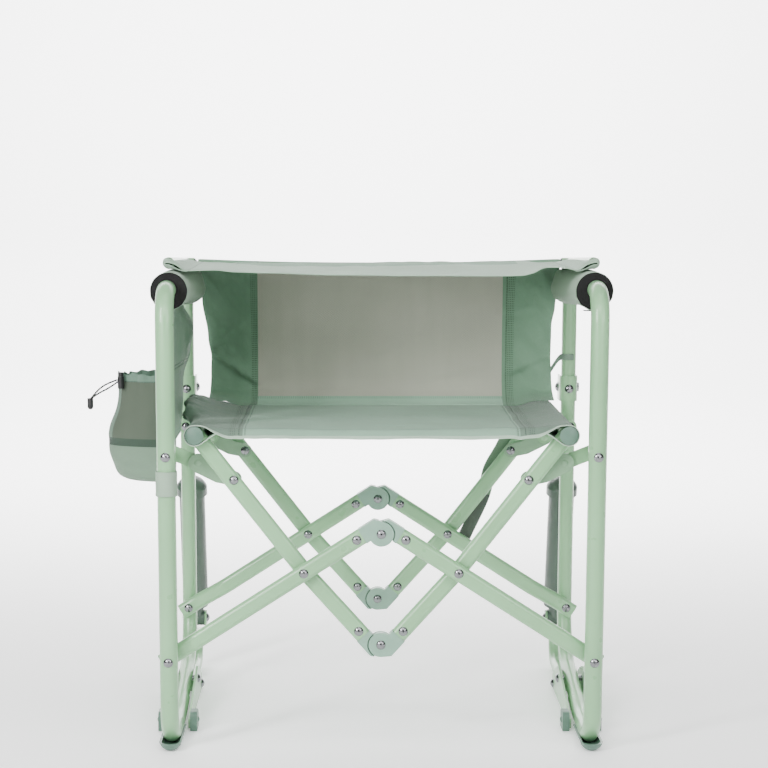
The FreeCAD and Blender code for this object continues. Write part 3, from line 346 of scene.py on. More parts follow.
def webbing(name, color):
    """Narrow woven strap with ribs across it."""
    s = Shader(name, color, 0.72, specular=0.3)
    u, v = uv_axes(s)
    ribs = s.math("SINE", s.math("MULTIPLY", v, 2 * math.pi / 0.0016))
    zigzag = s.math("ADD", s.math("PINGPONG", u, 0.003), v)
    chevron = s.math("SINE", s.math("MULTIPLY", zigzag, 2 * math.pi / 0.003))
    base = s.mix(s.ramp(s.noise(20.0), 0.3, 0.7), shade(color, 0.9), shade(color, 1.1))
    base = s.mix(s.ramp(ribs, -1.0, 1.0, 0.0, 0.35), base, shade(color, 0.65))
    s.paint(s.mix(s.ramp(chevron, 0.2, 1.0, 0.0, 0.25), base, shade(color, 1.3)))
    s.bump(ribs, 0.00035, 0.6)
    return s.material


def cord_material(name, color):
    """Braided cord: two crossing sets of strands."""
    s = Shader(name, color, 0.6, specular=0.35)
    waves = []
    for twist in (1.0, -1.0):
        wave = s.tree.nodes.new("ShaderNodeTexWave")
        wave.inputs["Scale"].default_value = 240.0
        mapping = s.tree.nodes.new("ShaderNodeMapping")
        mapping.inputs["Rotation"].default_value = (0.0, 0.6 * twist, 0.9 * twist)
        s.link(s.coordinates("Object"), mapping.inputs["Vector"])
        s.link(mapping.outputs["Vector"], wave.inputs["Vector"])
        waves.append(wave.outputs["Fac"])
    braid = s.math("MULTIPLY", waves[0], waves[1])
    s.paint(s.mix(braid, shade(color, 0.6), shade(color, 2.2)))
    s.bump(braid, 0.0003, 0.8)
    return s.material


# ---------------------------------------------------------------- colours
SAGE_PAINT = (0.21, 0.415, 0.215)
# The strut's own green paint, made far darker than the frame as painted shade from under the seat.
STRUT_SAGE_AND_SHADE = (0.042, 0.072, 0.052)
CLOTH = (0.17, 0.30, 0.20)
CLOTH_LIGHT = (0.24, 0.385, 0.285)
# Lighter copy of the seat cloth: painted light on the band where the lower back curves into the seat.
BAND_CLOTH_PAINTED_LIGHT = (0.31, 0.50, 0.37)
SEAT_SIDE = (0.135, 0.207, 0.155)
# Lighter copy of the seat cloth for the front hem: a painted highlight where its lower edge catches light.
SEAT_RIM_HIGHLIGHT = (0.40, 0.53, 0.42)
COVER = (0.27, 0.38, 0.28)
TAUPE = (0.45, 0.455, 0.38)
PALE_HEM = (0.30, 0.425, 0.32)
BAG_HEM = (0.115, 0.195, 0.145)
BAG_NET = (0.076, 0.099, 0.071)
BAG_BAND = (0.035, 0.06, 0.042)
BAG_BASE = (0.145, 0.222, 0.156)
BAG_STRIP = (0.11, 0.18, 0.13)
BLACK = (0.010, 0.010, 0.011)

PAINT = painted_metal("frame_powder_coat", SAGE_PAINT)
STRUT_PAINT_AND_SHADE = painted_metal("strut_powder_coat_and_shade", STRUT_SAGE_AND_SHADE, 0.45)
STEEL = bright_metal("plated_steel", (0.22, 0.225, 0.235), 0.16)
ROD_STEEL = bright_metal("polished_rod", (0.78, 0.78, 0.8), 0.14)
PALE_PLASTIC = moulded_plastic("pale_plastic", (0.082, 0.155, 0.115), 0.42)
JOINT_PLASTIC = moulded_plastic("joint_plastic", (0.20, 0.335, 0.255), 0.42)
TOGGLE_PLASTIC = moulded_plastic("toggle_plastic", (0.19, 0.33, 0.20), 0.42)
BLACK_PLASTIC = moulded_plastic("black_plastic", BLACK, 0.42)
FOAM = foam("black_foam", (0.006, 0.006, 0.006))
# Dark copy of the handle's green webbing: painted shade on the hanging part of the handle.
STRAP_PAINTED_SHADE = webbing("strap_webbing_painted_shade", (0.085, 0.105, 0.088))
STRAP_TOP = webbing("strap_top_webbing", (0.17, 0.275, 0.18))
TIE_STRAP = webbing("tie_webbing", (0.16, 0.24, 0.18))
LEG_STRAP = webbing("leg_webbing", (0.28, 0.39, 0.29))
CORD = cord_material("black_cord", BLACK)


# ---------------------------------------------------------------- frame nodes get their finish
FINISH = {
    PAINT: ["front_frame_tube", "rear_post_tube", "strut_bracket", "base_side_plates", "base_tube",
            "lower_links", "seat_links", "seat_rail", "toggle_straps", "back_tube"],
    STRUT_PAINT_AND_SHADE: ["strut_cylinder"],
    STEEL: ["frame_rivets", "base_bolts", "link_rivets", "seat_link_rivets", "strut_spring"],
    ROD_STEEL: ["strut_rod"],
    PALE_PLASTIC: ["front_foot_pad", "base_feet", "seat_rail_caps"],
    JOINT_PLASTIC: ["upper_knuckles", "lower_knuckles"],
    TOGGLE_PLASTIC: ["toggle_arms"],
    FOAM: ["arm_foam"],
}


def dress(node, material):
    """Give a carried-over node one material."""
    node.data.materials.clear()
    node.data.materials.append(material)


def dress_frame():
    """Give every carried-over node its finish, right and left alike."""
    for material, names in FINISH.items():
        for name in names:
            for side in ("_right", "_left"):
                dress(NODES[name + side], material)
    for name in ("cord_lock", "cord_end"):
        dress(NODES[name], BLACK_PLASTIC)


dress_frame()


# ---------------------------------------------------------------- cloth from rows of points
def bake(obj):
    """Apply an object's modifiers."""
    bpy.context.view_layer.update()
    graph = bpy.context.evaluated_depsgraph_get()
    mesh = bpy.data.meshes.new_from_object(obj.evaluated_get(graph))
    obj.modifiers.clear()
    obj.data = mesh


def running_length(points):
    """Distance from the first point to each point along the line."""
    total = [0.0]
    for a, b in zip(points, points[1:]):
        total.append(total[-1] + (b - a).length)
    return total


def cloth(name, rows, materials, pick=None, skip=None, thickness=1.2, middle_u=False, closed=False):
    """Sheet through rows of millimetre points; its UVs are metres along and across the cloth.

    pick(i, j) gives a face's material and skip(i, j) leaves a face out."""
    grid = [[place(*p) for p in row] for row in rows]
    count_v, count_u = len(grid), len(grid[0])
    loop = grid[count_v // 2] + ([grid[count_v // 2][0]] if closed else [])
    along_u = running_length(loop)
    along_v = running_length([row[count_u // 2] for row in grid])
    if middle_u:
        offset = along_u[count_u // 2]
        along_u = [u - offset for u in along_u]
    vertices = [p for row in grid for p in row]
    faces, coords, slots = [], [], []
    for j in range(count_v - 1):
        for i in range(count_u if closed else count_u - 1):
            if skip and skip(i, j):
                continue
            here, after = j * count_u, (i + 1) % count_u
            faces.append((here + i, here + after, here + count_u + after, here + count_u + i))
            coords += [(along_u[i], along_v[j]), (along_u[i + 1], along_v[j]),
                       (along_u[i + 1], along_v[j + 1]), (along_u[i], along_v[j + 1])]
            slots.append(pick(i, j) if pick else 0)
    mesh = bpy.data.meshes.new(name)
    mesh.from_pydata(vertices, [], faces)
    layer = mesh.uv_layers.new(name="cloth_metres")
    for item, uv in zip(layer.data, coords):
        item.uv = uv
    for material in materials:
        mesh.materials.append(material)
    for polygon, slot in zip(mesh.polygons, slots):
        polygon.material_index = slot
        polygon.use_smooth = True
    obj = bpy.data.objects.new(name, mesh)
    bpy.context.scene.collection.objects.link(obj)
    solid = obj.modifiers.new("thickness", "SOLIDIFY")
    solid.thickness = thickness * MM
    solid.offset = 0.0
    smoothing = obj.modifiers.new("smoothing", "SUBSURF")
    smoothing.levels = 1
    smoothing.render_levels = 1
    bake(obj)
    return obj


def sheet_size(rows):
    """Length across a middle row and down the sheet, in metres."""
    across = running_length([Vector(p) for p in rows[len(rows) // 2]])[-1]
    down = running_length([Vector(row[len(row) // 2]) for row in rows])[-1]
    return across * MM, down * MM


# ---------------------------------------------------------------- drawcord
def drawcord(name, node, points):
    """Free strand of the bag's drawcord on the same route as its solid."""
    data = bpy.data.curves.new(name, "CURVE")
    data.dimensions = "3D"
    data.bevel_depth = 1.25 * MM
    data.bevel_resolution = 4
    data.resolution_u = 16
    data.use_fill_caps = True
    spline = data.splines.new("NURBS")
    spline.points.add(len(points) - 1)
    for target, point in zip(spline.points, points):
        target.co = (*place(*point), 1.0)
    spline.order_u = 3
    spline.use_endpoint_u = True
    data.materials.append(CORD)
    obj = bpy.data.objects.new(name, data)
    bpy.context.scene.collection.objects.link(obj)
    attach(obj, "side_frame_left")
    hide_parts(node)
    place(*points[0])


UPPER_STRAND = [(-369.0, 152.8, 494.5), (-382.5, 151.5, 490.0), (-397.0, 153.5, 480.5),
                (-407.0, 157.0, 468.0)]
LOWER_STRAND = [(-369.0, 155.8, 491.5), (-381.0, 158.5, 482.5), (-396.0, 159.5, 475.5),
                (-408.0, 159.5, 467.0)]
drawcord("drawcord_strand_upper", "drawcord_upper", UPPER_STRAND)
drawcord("drawcord_strand_lower", "drawcord_lower", LOWER_STRAND)


# ---------------------------------------------------------------- seat
SLEEVE_R = 12.5
LINK_GAPS = ((28.5, 47.5), (338.5, 360.0))
UNDER_POINTS = 4          # points of the half profile on the sleeve's sewn edge
ROUND_POINTS = 11         # points round the rail


def seat_profile():
    """Right-hand half cross-section, from the sleeve's sewn edge round the rail to the middle."""
    points = [(219.0, 437.2), (226.0, 433.5), (234.0, 428.5), (241.5, 423.8)]
    for k in range(ROUND_POINTS):
        a = math.radians(-118.0 + k * 20.8)
        points.append((RAIL[0] + SLEEVE_R * math.cos(a), RAIL[1] + SLEEVE_R * math.sin(a)))
    points += [(240.0, 444.3), (232.0, 443.2), (224.0, 442.2), (214.0, 441.2), (207.0, 440.8)]
    points += [(x, SEAT_Z) for x in (200.0, 193.0, 190.0, 187.0, 184.0)]
    steps = 24
    points += [(178.0 * (1 - k / steps), SEAT_Z) for k in range(steps + 1)]
    return points


def seat_top_shift(x, y):
    """How far the seat's upper layer moves up or down at (x, y)."""
    edge = smooth(150.0, 215.0, abs(x))
    sag = 3.4 * max(1 - (x / 232.0) ** 2, 0.0) * math.sin(math.pi * smooth(-120, 380, y))
    drop = 11.5 * (1 - smooth(15.0, 35.0, y)) ** 1.6
    tuck = -2.2 * smooth(316.0, 332.0, y)
    calm = smooth(340.0, 290.0, y)
    fold = 2.6 * wrinkle(x, y, 0, 52.0, 2.0) * (0.35 + edge)
    fold += 1.5 * wrinkle(x * 0.4, y * 1.6, 0, 26.0, 5.0)
    seam = sum(-1.3 * math.exp(-((x - place_x) / 2.6) ** 2) for place_x in (-189.0, 186.0))
    corner_noise = wrinkle(x * 0.8 + y * 0.5, y * 0.6 - x * 0.4, 0, 17.0, 9.0)
    corner = 2.4 * smooth(235.0, 330.0, y) * edge * corner_noise
    near_front = smooth(60.0, 20.0, y) * smooth(100, 190, abs(x))
    ripple = 0.45 * math.sin(x / 5.2 + 2.0 * wrinkle(x, y, 0, 60.0)) * near_front
    return tuck - sag - drop + fold * calm + seam + corner + ripple


def sleeve_bulge(x, z, y):
    """Loose cloth that stands up beside the left rail towards the rear post."""
    around = math.atan2(z - RAIL[1], -x - RAIL[0])
    reach = smooth(130.0, 215.0, y) * smooth(352.0, 335.0, y)
    reach *= smooth(-0.9, 0.35, around) * smooth(2.3, 1.2, around)
    crumple = 0.85 + 1.3 * wrinkle(y * 1.5, z * 4, 0, 19.0, 4.0)
    return -19.0 * reach * crumple, 16.0 * reach * smooth(0.0, 1.2, around) * crumple


def seat_rows():
    """Rows from front to back; the sleeves flare over the rail caps at the front."""
    half = seat_profile()
    profile = half + [(-x, z) for x, z in reversed(half[:-1])]
    rows = []
    stations = [15.2, 17.0, 20.0, 24.0, 28.5, 33.0, 38.0, 47.5]
    stations += [47.5 + 9.1 * k for k in range(1, 33)] + [345.0, 352.5]
    top_from = UNDER_POINTS + ROUND_POINTS // 2
    for y in stations:
        row = []
        for i, (x, z) in enumerate(profile):
            top = top_from <= i < len(profile) - top_from
            if abs(x) < 241.0 and not (UNDER_POINTS <= i < len(profile) - UNDER_POINTS):
                shift = -1.2 * math.sin(math.pi * smooth(-120, 380, y))
            else:
                shift = seat_top_shift(x, y) * (1 - smooth(206.0, 244.0, abs(x))) if top else 0.0
            puff = 0.55 * wrinkle(x, y, z, 16.0, 7.0) if top else 0.0
            out, up = sleeve_bulge(x, z, y) if x < -RAIL[0] + 6 else (0.0, 0.0)
            if abs(x) > 238.0:
                flare = 1.0 + 0.13 * smooth(36.0, 18.0, y)
                x = math.copysign(RAIL[0] + (abs(x) - RAIL[0]) * flare, x)
                z = RAIL[1] + (z - RAIL[1]) * flare
            row.append((x + out, y, z + shift + up + puff))
        rows.append(row)
    return rows


def build_seat():
    rows = seat_rows()
    count = len(rows[0])
    stations = [row[0][1] for row in rows]
    under_to = UNDER_POINTS + 3

    def skip(i, j):
        middle = (stations[j] + stations[j + 1]) / 2
        under = i < under_to or i >= count - 1 - under_to
        return under and any(low < middle < high for low, high in LINK_GAPS)

    def pick(i, j):
        # The two front rows take the lighter hem cloth, a painted highlight.
        if j < 2:
            return 2
        return 1 if abs(rows[0][i][0] + rows[0][i + 1][0]) / 2 > 187.0 else 0

    rims = [0.0225]
    middle = woven("seat_cloth", CLOTH_LIGHT, rows_u=[-0.1905, -0.184, 0.1905, 0.184], rows_v=rims,
                   puckers=0.0018)
    sides = woven("seat_side_cloth", SEAT_SIDE, rows_u=[-0.1945, 0.1925], rows_v=rims,
                  ladders_u=[(-0.2035, 0.005), (0.2015, 0.005)], puckers=0.0028)
    # Painted highlight: the front hem is a lighter copy of the seat cloth.
    rim_highlight = woven("seat_rim_highlight_cloth", SEAT_RIM_HIGHLIGHT, puckers=0.0012)
    seat = cloth("seat_panel", rows, [middle, sides, rim_highlight], pick=pick, skip=skip, thickness=1.3,
                 middle_u=True)
    across, down = sheet_size(rows)
    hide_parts("seat_fabric")
    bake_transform(seat)


build_seat()


# ---------------------------------------------------------------- lower back
# (Z, distance from the middle) along the left and right edges.
LEFT_EDGE = [(444.0, 254.0), (484.0, 252.5), (509.0, 251.5), (539.0, 256.0), (594.0, 265.0), (640.0, 270.0)]
RIGHT_EDGE = [(444.0, 264.5), (484.0, 262.4), (509.0, 261.5), (554.0, 261.8), (584.0, 266.4), (629.0, 273.0)]
MESH_LEFT, MESH_RIGHT = -181.5, 188.0
SIDE_STEPS, MESH_STEPS = 14, 40   # columns in each side cloth and in the netting
JUNCTION = [(441.2, -40.0), (441.7, -34.0), (442.6, -28.0), (444.2, -22.0), (446.5, -16.5), (449.8, -11.5),
            (453.5, -8.0), (457.5, -5.4), (462.0, -3.4), (467.0, -1.8), (474.0, 0.0)]   # (Z, forward)
JOIN_ROWS = 5             # rows from the seat up to the bottom of the netting
TIE_Z = 512.0
ROLL_Z = 645.0
ROLL_R = 4.0


def crease(x, z, a, b, depth, sharp=1.5, spread=12.0):
    """Fold along the line a to b: cloth above it stands forward and drops back sharply below."""
    run = (b[0] - a[0], b[1] - a[1])
    length = math.hypot(*run)
    along = ((x - a[0]) * run[0] + (z - a[1]) * run[1]) / length
    above = ((z - a[1]) * run[0] - (x - a[0]) * run[1]) / length * (1 if run[0] > 0 else -1)
    ends = smooth(-8.0, 6.0, along) * smooth(length + 10.0, length - 14.0, along)
    return -depth * ends * smooth(-sharp, sharp, above) * math.exp(-max(above, 0.0) / spread)


def back_surface(x, z):
    """How far behind the post line the lower back lies; forward is negative."""
    junction = table(JUNCTION, z)
    belly = 3.0 * math.sin(math.pi * smooth(440.0, 650.0, z)) * max(1 - (x / 262.0) ** 2, 0.0)
    side = smooth(184.0, 205.0, abs(x))
    calm = smooth(444.0, 462.0, z)
    slant = x * 0.8 + z * 0.6
    slack = 9.5 * wrinkle(slant, 0, (z * 0.8 - x * 0.6) * 0.35, 34.0, 8.0)
    slack += 3.6 * wrinkle(slant, 0, (z * 0.8 - x * 0.6) * 0.4, 13.0, 3.0)
    slack *= calm
    net = 2.6 * wrinkle(x * 0.7 + z * 0.5, 0, z, 60.0, 5.0) * calm
    net += crease(x, z, (150.0, 590.0), (-10.0, 512.0), 2.2, 7.0, 26.0)
    net += crease(x, z, (182.0, 500.0), (60.0, 470.0), 2.2, 5.0, 20.0)
    net += crease(x, z, (-60.0, 600.0), (-170.0, 540.0), 1.8, 8.0, 26.0)
    left_fold = crease(x, z, (-250.0, TIE_Z + 2), (-183.0, 467.0), 17.0, 1.0, 15.0)
    left_fold += crease(x, z, (-252.0, TIE_Z + 8), (-196.0, 560.0), 6.5, 4.0, 20.0)
    right_fold = crease(x, z, (189.0, 572.0), (232.0, 579.0), 6.0, 1.6, 16.0)
    right_fold += crease(x, z, (259.0, TIE_Z), (196.0, 480.0), 7.0, 2.0, 16.0)
    hem = -0.7 * math.exp(-((z - 452.5) / 2.5) ** 2)
    seam = sum(0.9 * math.exp(-((x - line) / 3.0) ** 2) for line in (-188.5, 194.5))
    return junction + belly + slack * side + net * (1 - side) + left_fold + right_fold + hem + seam


def lower_back_columns(z):
    """X of every column of points at height z."""
    left, right = -table(LEFT_EDGE, z), table(RIGHT_EDGE, z)
    outer_left = [left + (MESH_LEFT - left) * i / SIDE_STEPS for i in range(SIDE_STEPS)]
    inner = [MESH_LEFT + (MESH_RIGHT - MESH_LEFT) * i / MESH_STEPS for i in range(MESH_STEPS + 1)]
    outer_right = [MESH_RIGHT + (right - MESH_RIGHT) * i / SIDE_STEPS for i in range(1, SIDE_STEPS + 1)]
    return outer_left + inner + outer_right


def lower_back_rows():
    """Rows from the seat junction up to the roll on the hinge line."""
    rows = []
    heights = [z for z, forward in JUNCTION[:-1]] + [471.0 + 4.58 * k for k in range(39)]
    for z in heights:
        lift = 5.0 * smooth(458.0, 444.0, z)
        on_seat = smooth(449.8, 441.2, z)
        row = []
        for x in lower_back_columns(z):
            y = POST_Y + back_surface(x, z)
            rest_z = SEAT_Z + seat_top_shift(x, y) * (1 - smooth(206.0, 244.0, abs(x))) + 1.2
            drop = min(rest_z - 441.2, 0.0) * on_seat
            row.append((x, y, z + drop + lift * smooth(200.0, 236.0, abs(x))))
        rows.append(row)
    for k in range(8):
        a = math.radians(180 - 45 * k)
        rows.append([(x, POST_Y + ROLL_R * math.cos(a) + 0.4 * wrinkle(x, 0, 0, 20.0),
                      ROLL_Z + 6.0 + ROLL_R * math.sin(a) - 5.0 * max(1 - (abs(x) / 262.0) ** 2.4, 0.0))
                     for x in lower_back_columns(ROLL_Z)])
    return rows


def build_lower_back():
    rows = lower_back_rows()

    def pick(i, j):
        middle = SIDE_STEPS <= i < SIDE_STEPS + MESH_STEPS
        if j < JOIN_ROWS:
            return 2 if middle else 0
        return 1 if middle and j < 46 else 0

    side_cloth = woven("back_side_cloth", CLOTH, rows_u=[-0.1835, 0.1905],
                       ladders_u=[(-0.1895, 0.0052), (0.1965, 0.0052)], puckers=0.0028)
    net = netting("back_netting", TAUPE)
    # The band from the seat up to the netting is the seat cloth painted lighter, as painted light on the
    # curve.
    join_cloth_painted_light = woven("back_join_cloth_painted_light", BAND_CLOTH_PAINTED_LIGHT, ladders_v=[(0.0285, 0.0032)], puckers=0.0016)
    back = cloth("lower_back_panel", rows, [side_cloth, net, join_cloth_painted_light], pick=pick, thickness=1.2,
                 middle_u=True)
    across, down = sheet_size(rows)
    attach(back, "side_frame_right")
    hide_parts("lower_back_fabric")
    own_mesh(back)


def build_tie():
    """Short strap from behind the right edge of the lower back up to the rear post."""
    rows = []
    for m in range(5):
        row = []
        for k in range(15):
            t = k / 14
            if t < 0.4:
                x, y = 252.0 + 24.5 * t / 0.4, POST_Y + 3.5 - 5.0 * t / 0.4
            else:
                a = math.radians(188.0 + 115.0 * (t - 0.4) / 0.6)
                x, y = SIDE_X + 12.2 * math.cos(a), POST_Y + 12.2 * math.sin(a)
            row.append((x, y, 478.0 + 2.4 * m + 26.0 * smooth(0.05, 0.42, t)))
        rows.append(row)
    tie = cloth("back_tie", rows, [TIE_STRAP], thickness=1.2)
    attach(tie, "side_frame_right")


build_lower_back()
build_tie()


# ---------------------------------------------------------------- upper back, folded forward over the arms
BACK_R = 8.3
NOSE_Y = 78.0
# (X, Z) along the folded panel's front hem and its edge at the hinge.
FRONT_HEM = [(-266.0, 649.8), (-225.0, 650.8), (-198.0, 648.2), (-158.0, 647.0), (-60.0, 644.2),
             (60.0, 643.2), (161.0, 642.8), (193.0, 643.4), (206.0, 646.6), (221.0, 654.6),
             (247.0, 654.6), (266.0, 650.0)]
REAR_EDGE = [(-266.0, 651.2), (-247.0, 649.8), (-217.0, 648.4), (-205.0, 650.8), (-195.0, 650.2),
             (-165.0, 649.6), (-60.0, 649.6), (120.0, 652.0), (183.0, 652.8), (215.0, 652.0),
             (243.0, 649.8), (266.0, 651.0)]
SLEEVE_POINTS = 14        # points of the half profile before the panel


def upper_profile(y, open_nose):
    """Right-hand half: from the sleeve's sewn edge under the tube, round it and in to the panel.

    open_nose is 0 where the sleeve's nose is closed and 1 where the tube fills it."""
    centre = back_tube_z(y)
    under = centre - BACK_R * 0.93
    edge = upper_surface(266.0, y)
    squeeze = 0.1 + 0.9 * open_nose
    points = [(263.0 + 6.0 * k, edge - 1.4 + (under - edge + 1.4) * k / 3.7) for k in range(3)]
    for k in range(8):
        a = math.radians(-112.0 + k * 24.5)
        points.append((SIDE_X + BACK_R * math.cos(a) * (0.6 + 0.4 * open_nose),
                       centre - 1.5 * (1 - squeeze) + BACK_R * math.sin(a) * squeeze))
    top = centre - 1.5 + BACK_R * 0.7 * squeeze
    points += [(281.0, edge + (top - edge) * 0.9), (275.5, edge + (top - edge) * 0.55),
               (270.5, edge + (top - edge) * 0.2)]
    return points


def upper_surface(x, y):
    """Height of the folded panel between its two hems."""
    t = smooth(70.0, 380.0, y)
    level = table(FRONT_HEM, x) * (1 - t) + table(REAR_EDGE, x) * t
    spread = max(1 - (x / 266.0) ** 2, 0.0)
    sag = 4.0 * math.sin(math.pi * t) * spread
    folds = 2.6 * wrinkle(x, y * 0.5, 0, 40.0, 3.0) + 1.3 * wrinkle(x, y, 0, 15.0, 9.0)
    return level - sag + folds * spread ** 0.5 * smooth(80.0, 110.0, y)


def sleeve_points(y, sign):
    """One back tube's sleeve at y with small lumps, on the right for sign 1 and the left for -1."""
    points = []
    for x, z in upper_profile(y, smooth(NOSE_Y - 1.0, 84.0, y)):
        reach = 1.0 if z > back_tube_z(y) - 2 else 0.2
        lump = max(0.9 * wrinkle(sign * x, y, z, 13.0, 4.0), 0.0) * reach
        points.append((sign * (x + lump), z + lump))
    return points


def upper_back_rows():
    """Rows from the closed nose of the sleeves back to the hinge."""
    inner = [266.0 - 7.0 * k for k in range(77)]
    stations = [NOSE_Y, 79.2, 81.0, 83.5, 86.5, 91.0, 98.0]
    stations += [98.0 + 10.2 * k for k in range(1, 26)] + [359.0]
    rows = []
    for y in stations:
        panel = [(x, upper_surface(x, y)) for x in inner]
        around = sleeve_points(y, 1) + panel + sleeve_points(y, -1)[::-1]
        rows.append([(x, y, z) for x, z in around])
    return rows


def build_upper_back():
    rows = upper_back_rows()
    count = len(rows[0])

    def pick(i, j):
        inside = abs(rows[8][i][0]) < 205.0 and SLEEVE_POINTS < i < count - SLEEVE_POINTS
        return 1 if inside and j > 24 else 0

    front_cloth = woven("upper_back_cloth", PALE_HEM, rows_u=[-0.262, 0.262], rows_v=[0.009, 0.0135],
                        puckers=0.0018)
    rear_cloth = woven("upper_back_strip", CLOTH, rows_v=[0.21, 0.28], puckers=0.0014)
    panel = cloth("upper_back_panel", rows, [front_cloth, rear_cloth], pick=pick, thickness=1.3,
                  middle_u=True)
    across, down = sheet_size(rows)
    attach(panel, "back_right")
    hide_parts("upper_back_fabric")
    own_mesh(panel)


build_upper_back()


# ---------------------------------------------------------------- arm covers over the foam
def arm_rows(sign):
    """Rings round one arm pad from front to back, sign 1 for the right and -1 for the left."""
    rows = []
    stations = [46.5, 48.0, 51.0, 56.0, 64.0] + [64.0 + 10.0 * k for k in range(1, 27)]
    stations += [331.0, 336.0, 340.0, 342.8]
    for y in stations:
        ends = max(1 - smooth(46.0, 60.0, y), smooth(328.0, 343.0, y))
        row = []
        for k in range(60):
            a = math.radians(6.0 * k)
            x, z = math.cos(a), math.sin(a)
            lumps = wrinkle(x * 25, y * 0.6, z * 25, 24.0, sign * 3.0)
            lumps += 0.5 * wrinkle(x * 25, y, z * 25, 11.0, 2.0)
            gather = 0.4 * math.sin(13 * a + 0.6 * sign) * ends
            seam = 1.0 * math.exp(-((k - 45) / 0.8) ** 2)
            sag = 9.0 * smooth(130.0, 343.0, y) * smooth(0.2, -0.8, z) * smooth(0.7, -0.4, x)
            r = 25.1 + max(0.7 * lumps + gather, -0.1) * (0.35 + smooth(0.4, -0.8, z)) + seam + sag
            top = back_tube_z(y) - 9.75 - ARM_PAD[1]
            row.append((sign * (ARM_PAD[0] + r * x), y, ARM_PAD[1] + min(r * z, top)))
        rows.append(row)
    return rows


def build_arm_cover(side, sign):
    rows = arm_rows(sign)
    material = woven("arm_cloth_" + side, COVER, rows_v=[0.004, 0.292], puckers=0.0014)
    cover = cloth("arm_cover_cloth_" + side, rows, [material], thickness=0.8, closed=True)
    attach(cover, "side_frame_" + side)
    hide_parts("arm_cover_" + side)


def build_arm_strap():
    """End of the strap that closes the right arm cover, seen under the pad."""
    rows = []
    for m in range(5):
        row = []
        for k in range(6):
            drop = 0.5 * math.sin(k * 0.7) + 0.06 * (k - 2) ** 2
            row.append((SIDE_X - 17.0 + 2.6 * k, 47.0 + 3.0 * m, 598.1 - drop))
        rows.append(row)
    strap = cloth("arm_strap_end", rows, [CORD], thickness=1.4)
    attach(strap, "side_frame_right")


build_arm_cover("right", 1)
build_arm_cover("left", -1)
build_arm_strap()


# ---------------------------------------------------------------- cup holder bag
BAG_IN = -293.6           # the bag's flat inner wall
BAG_MIDDLE = 180.0        # the bag's middle, from the front legs' plane
# Height, X of the outermost point and half width in Y, from the mouth down.
BAG_OUTLINE = [(503.0, -368.0, 38.5), (493.0, -369.0, 39.0), (476.0, -370.0, 40.5), (464.0, -371.2, 41.5),
               (452.0, -373.5, 42.5), (442.0, -377.5, 43.5), (432.5, -382.0, 44.5), (423.0, -384.8, 44.8),
               (413.0, -386.2, 45.0), (398.0, -385.6, 44.5), (387.0, -383.2, 43.5), (376.0, -380.0, 42.0),
               (366.0, -376.8, 40.0), (358.0, -373.0, 37.0), (353.0, -366.0, 33.0), (349.8, -355.0, 26.0),
               (347.9, -341.0, 18.0), (347.2, -322.0, 10.0), (347.0, -303.0, 4.0)]
HEM_LOW, BAND_HIGH, BAND_LOW = 490.0, 411.0, 400.0


def between(outline, z):
    """Outline values at height z, from rows listed top down."""
    for upper, lower in zip(outline, outline[1:]):
        if z >= lower[0]:
            t = (upper[0] - z) / (upper[0] - lower[0])
            return [a + (b - a) * t for a, b in zip(upper[1:], lower[1:])]
    return list(outline[-1][1:])


def bag_rows():
    """Half rings from the gathered mouth down to the base, and their heights."""
    heights = [502.0, 500.0, 497.0, 493.5, 491.0, 489.0, 484.0, 477.0, 470.0, 462.0, 454.0, 446.0,
               438.0, 430.0, 422.0, 415.0, 411.5, 410.0, 404.0, 400.5, 399.0, 394.0, 389.0, 384.0,
               379.0, 374.0, 369.0, 364.0, 359.0, 355.0, 352.0, 349.8, 348.4, 347.5, 347.2]
    rows = []
    for z in heights:
        x_out, half = between(BAG_OUTLINE, z)
        row = []
        for k in range(81):
            a = math.pi * (k / 80 - 0.5)
            round_x, round_y = math.cos(a), math.sin(a)
            gathers = 2.0 * math.sin(11.0 * a + 0.7) + 1.6 * math.sin(23.0 * a - 0.5)
            mouth = smooth(466.0, 500.0, z)
            base = smooth(404.0, 392.0, z) * smooth(347.0, 360.0, z)
            puckers = 2.1 * wrinkle(a * 30, 0, z * 0.8, 14.0, 6.0) * base
            crease_line = 371.0 + 19.0 * (a + 0.95)
            dent = -4.2 * math.exp(-((z - crease_line) / 3.2) ** 2)
            dent *= smooth(-1.35, -1.15, a) * smooth(-0.55, -0.75, a)
            pinch = -1.3 * math.exp(-((z - 407.0) / 5.0) ** 2)
            inside = math.cos(a) ** 0.5 if math.cos(a) > 0 else 0.0
            push = (gathers * mouth + puckers + dent + pinch) * inside
            ruffle = 1.4 * math.sin(7.0 * a + 1.0) + 1.5 * math.sin(23.0 * a)
            wave = ruffle * smooth(492.0, 502.0, z) * inside
            row.append((BAG_IN + (x_out - BAG_IN) * round_x - push * round_x,
                        BAG_MIDDLE + (half + push) * round_y, z + wave))
        rows.append(row)
    return rows, heights


def bag_materials():
    hem = woven("bag_hem_cloth", BAG_HEM, rows_v=[0.0115], puckers=0.0024)
    net = netting("bag_netting", BAG_NET, pitch=0.0024)
    band = woven("bag_band_cloth", BAG_BAND, puckers=0.0004)
    base = woven("bag_base_cloth", BAG_BASE, puckers=0.0022)
    strip = woven("bag_strip_cloth", BAG_STRIP, puckers=0.001)
    return [hem, net, band, base, strip]


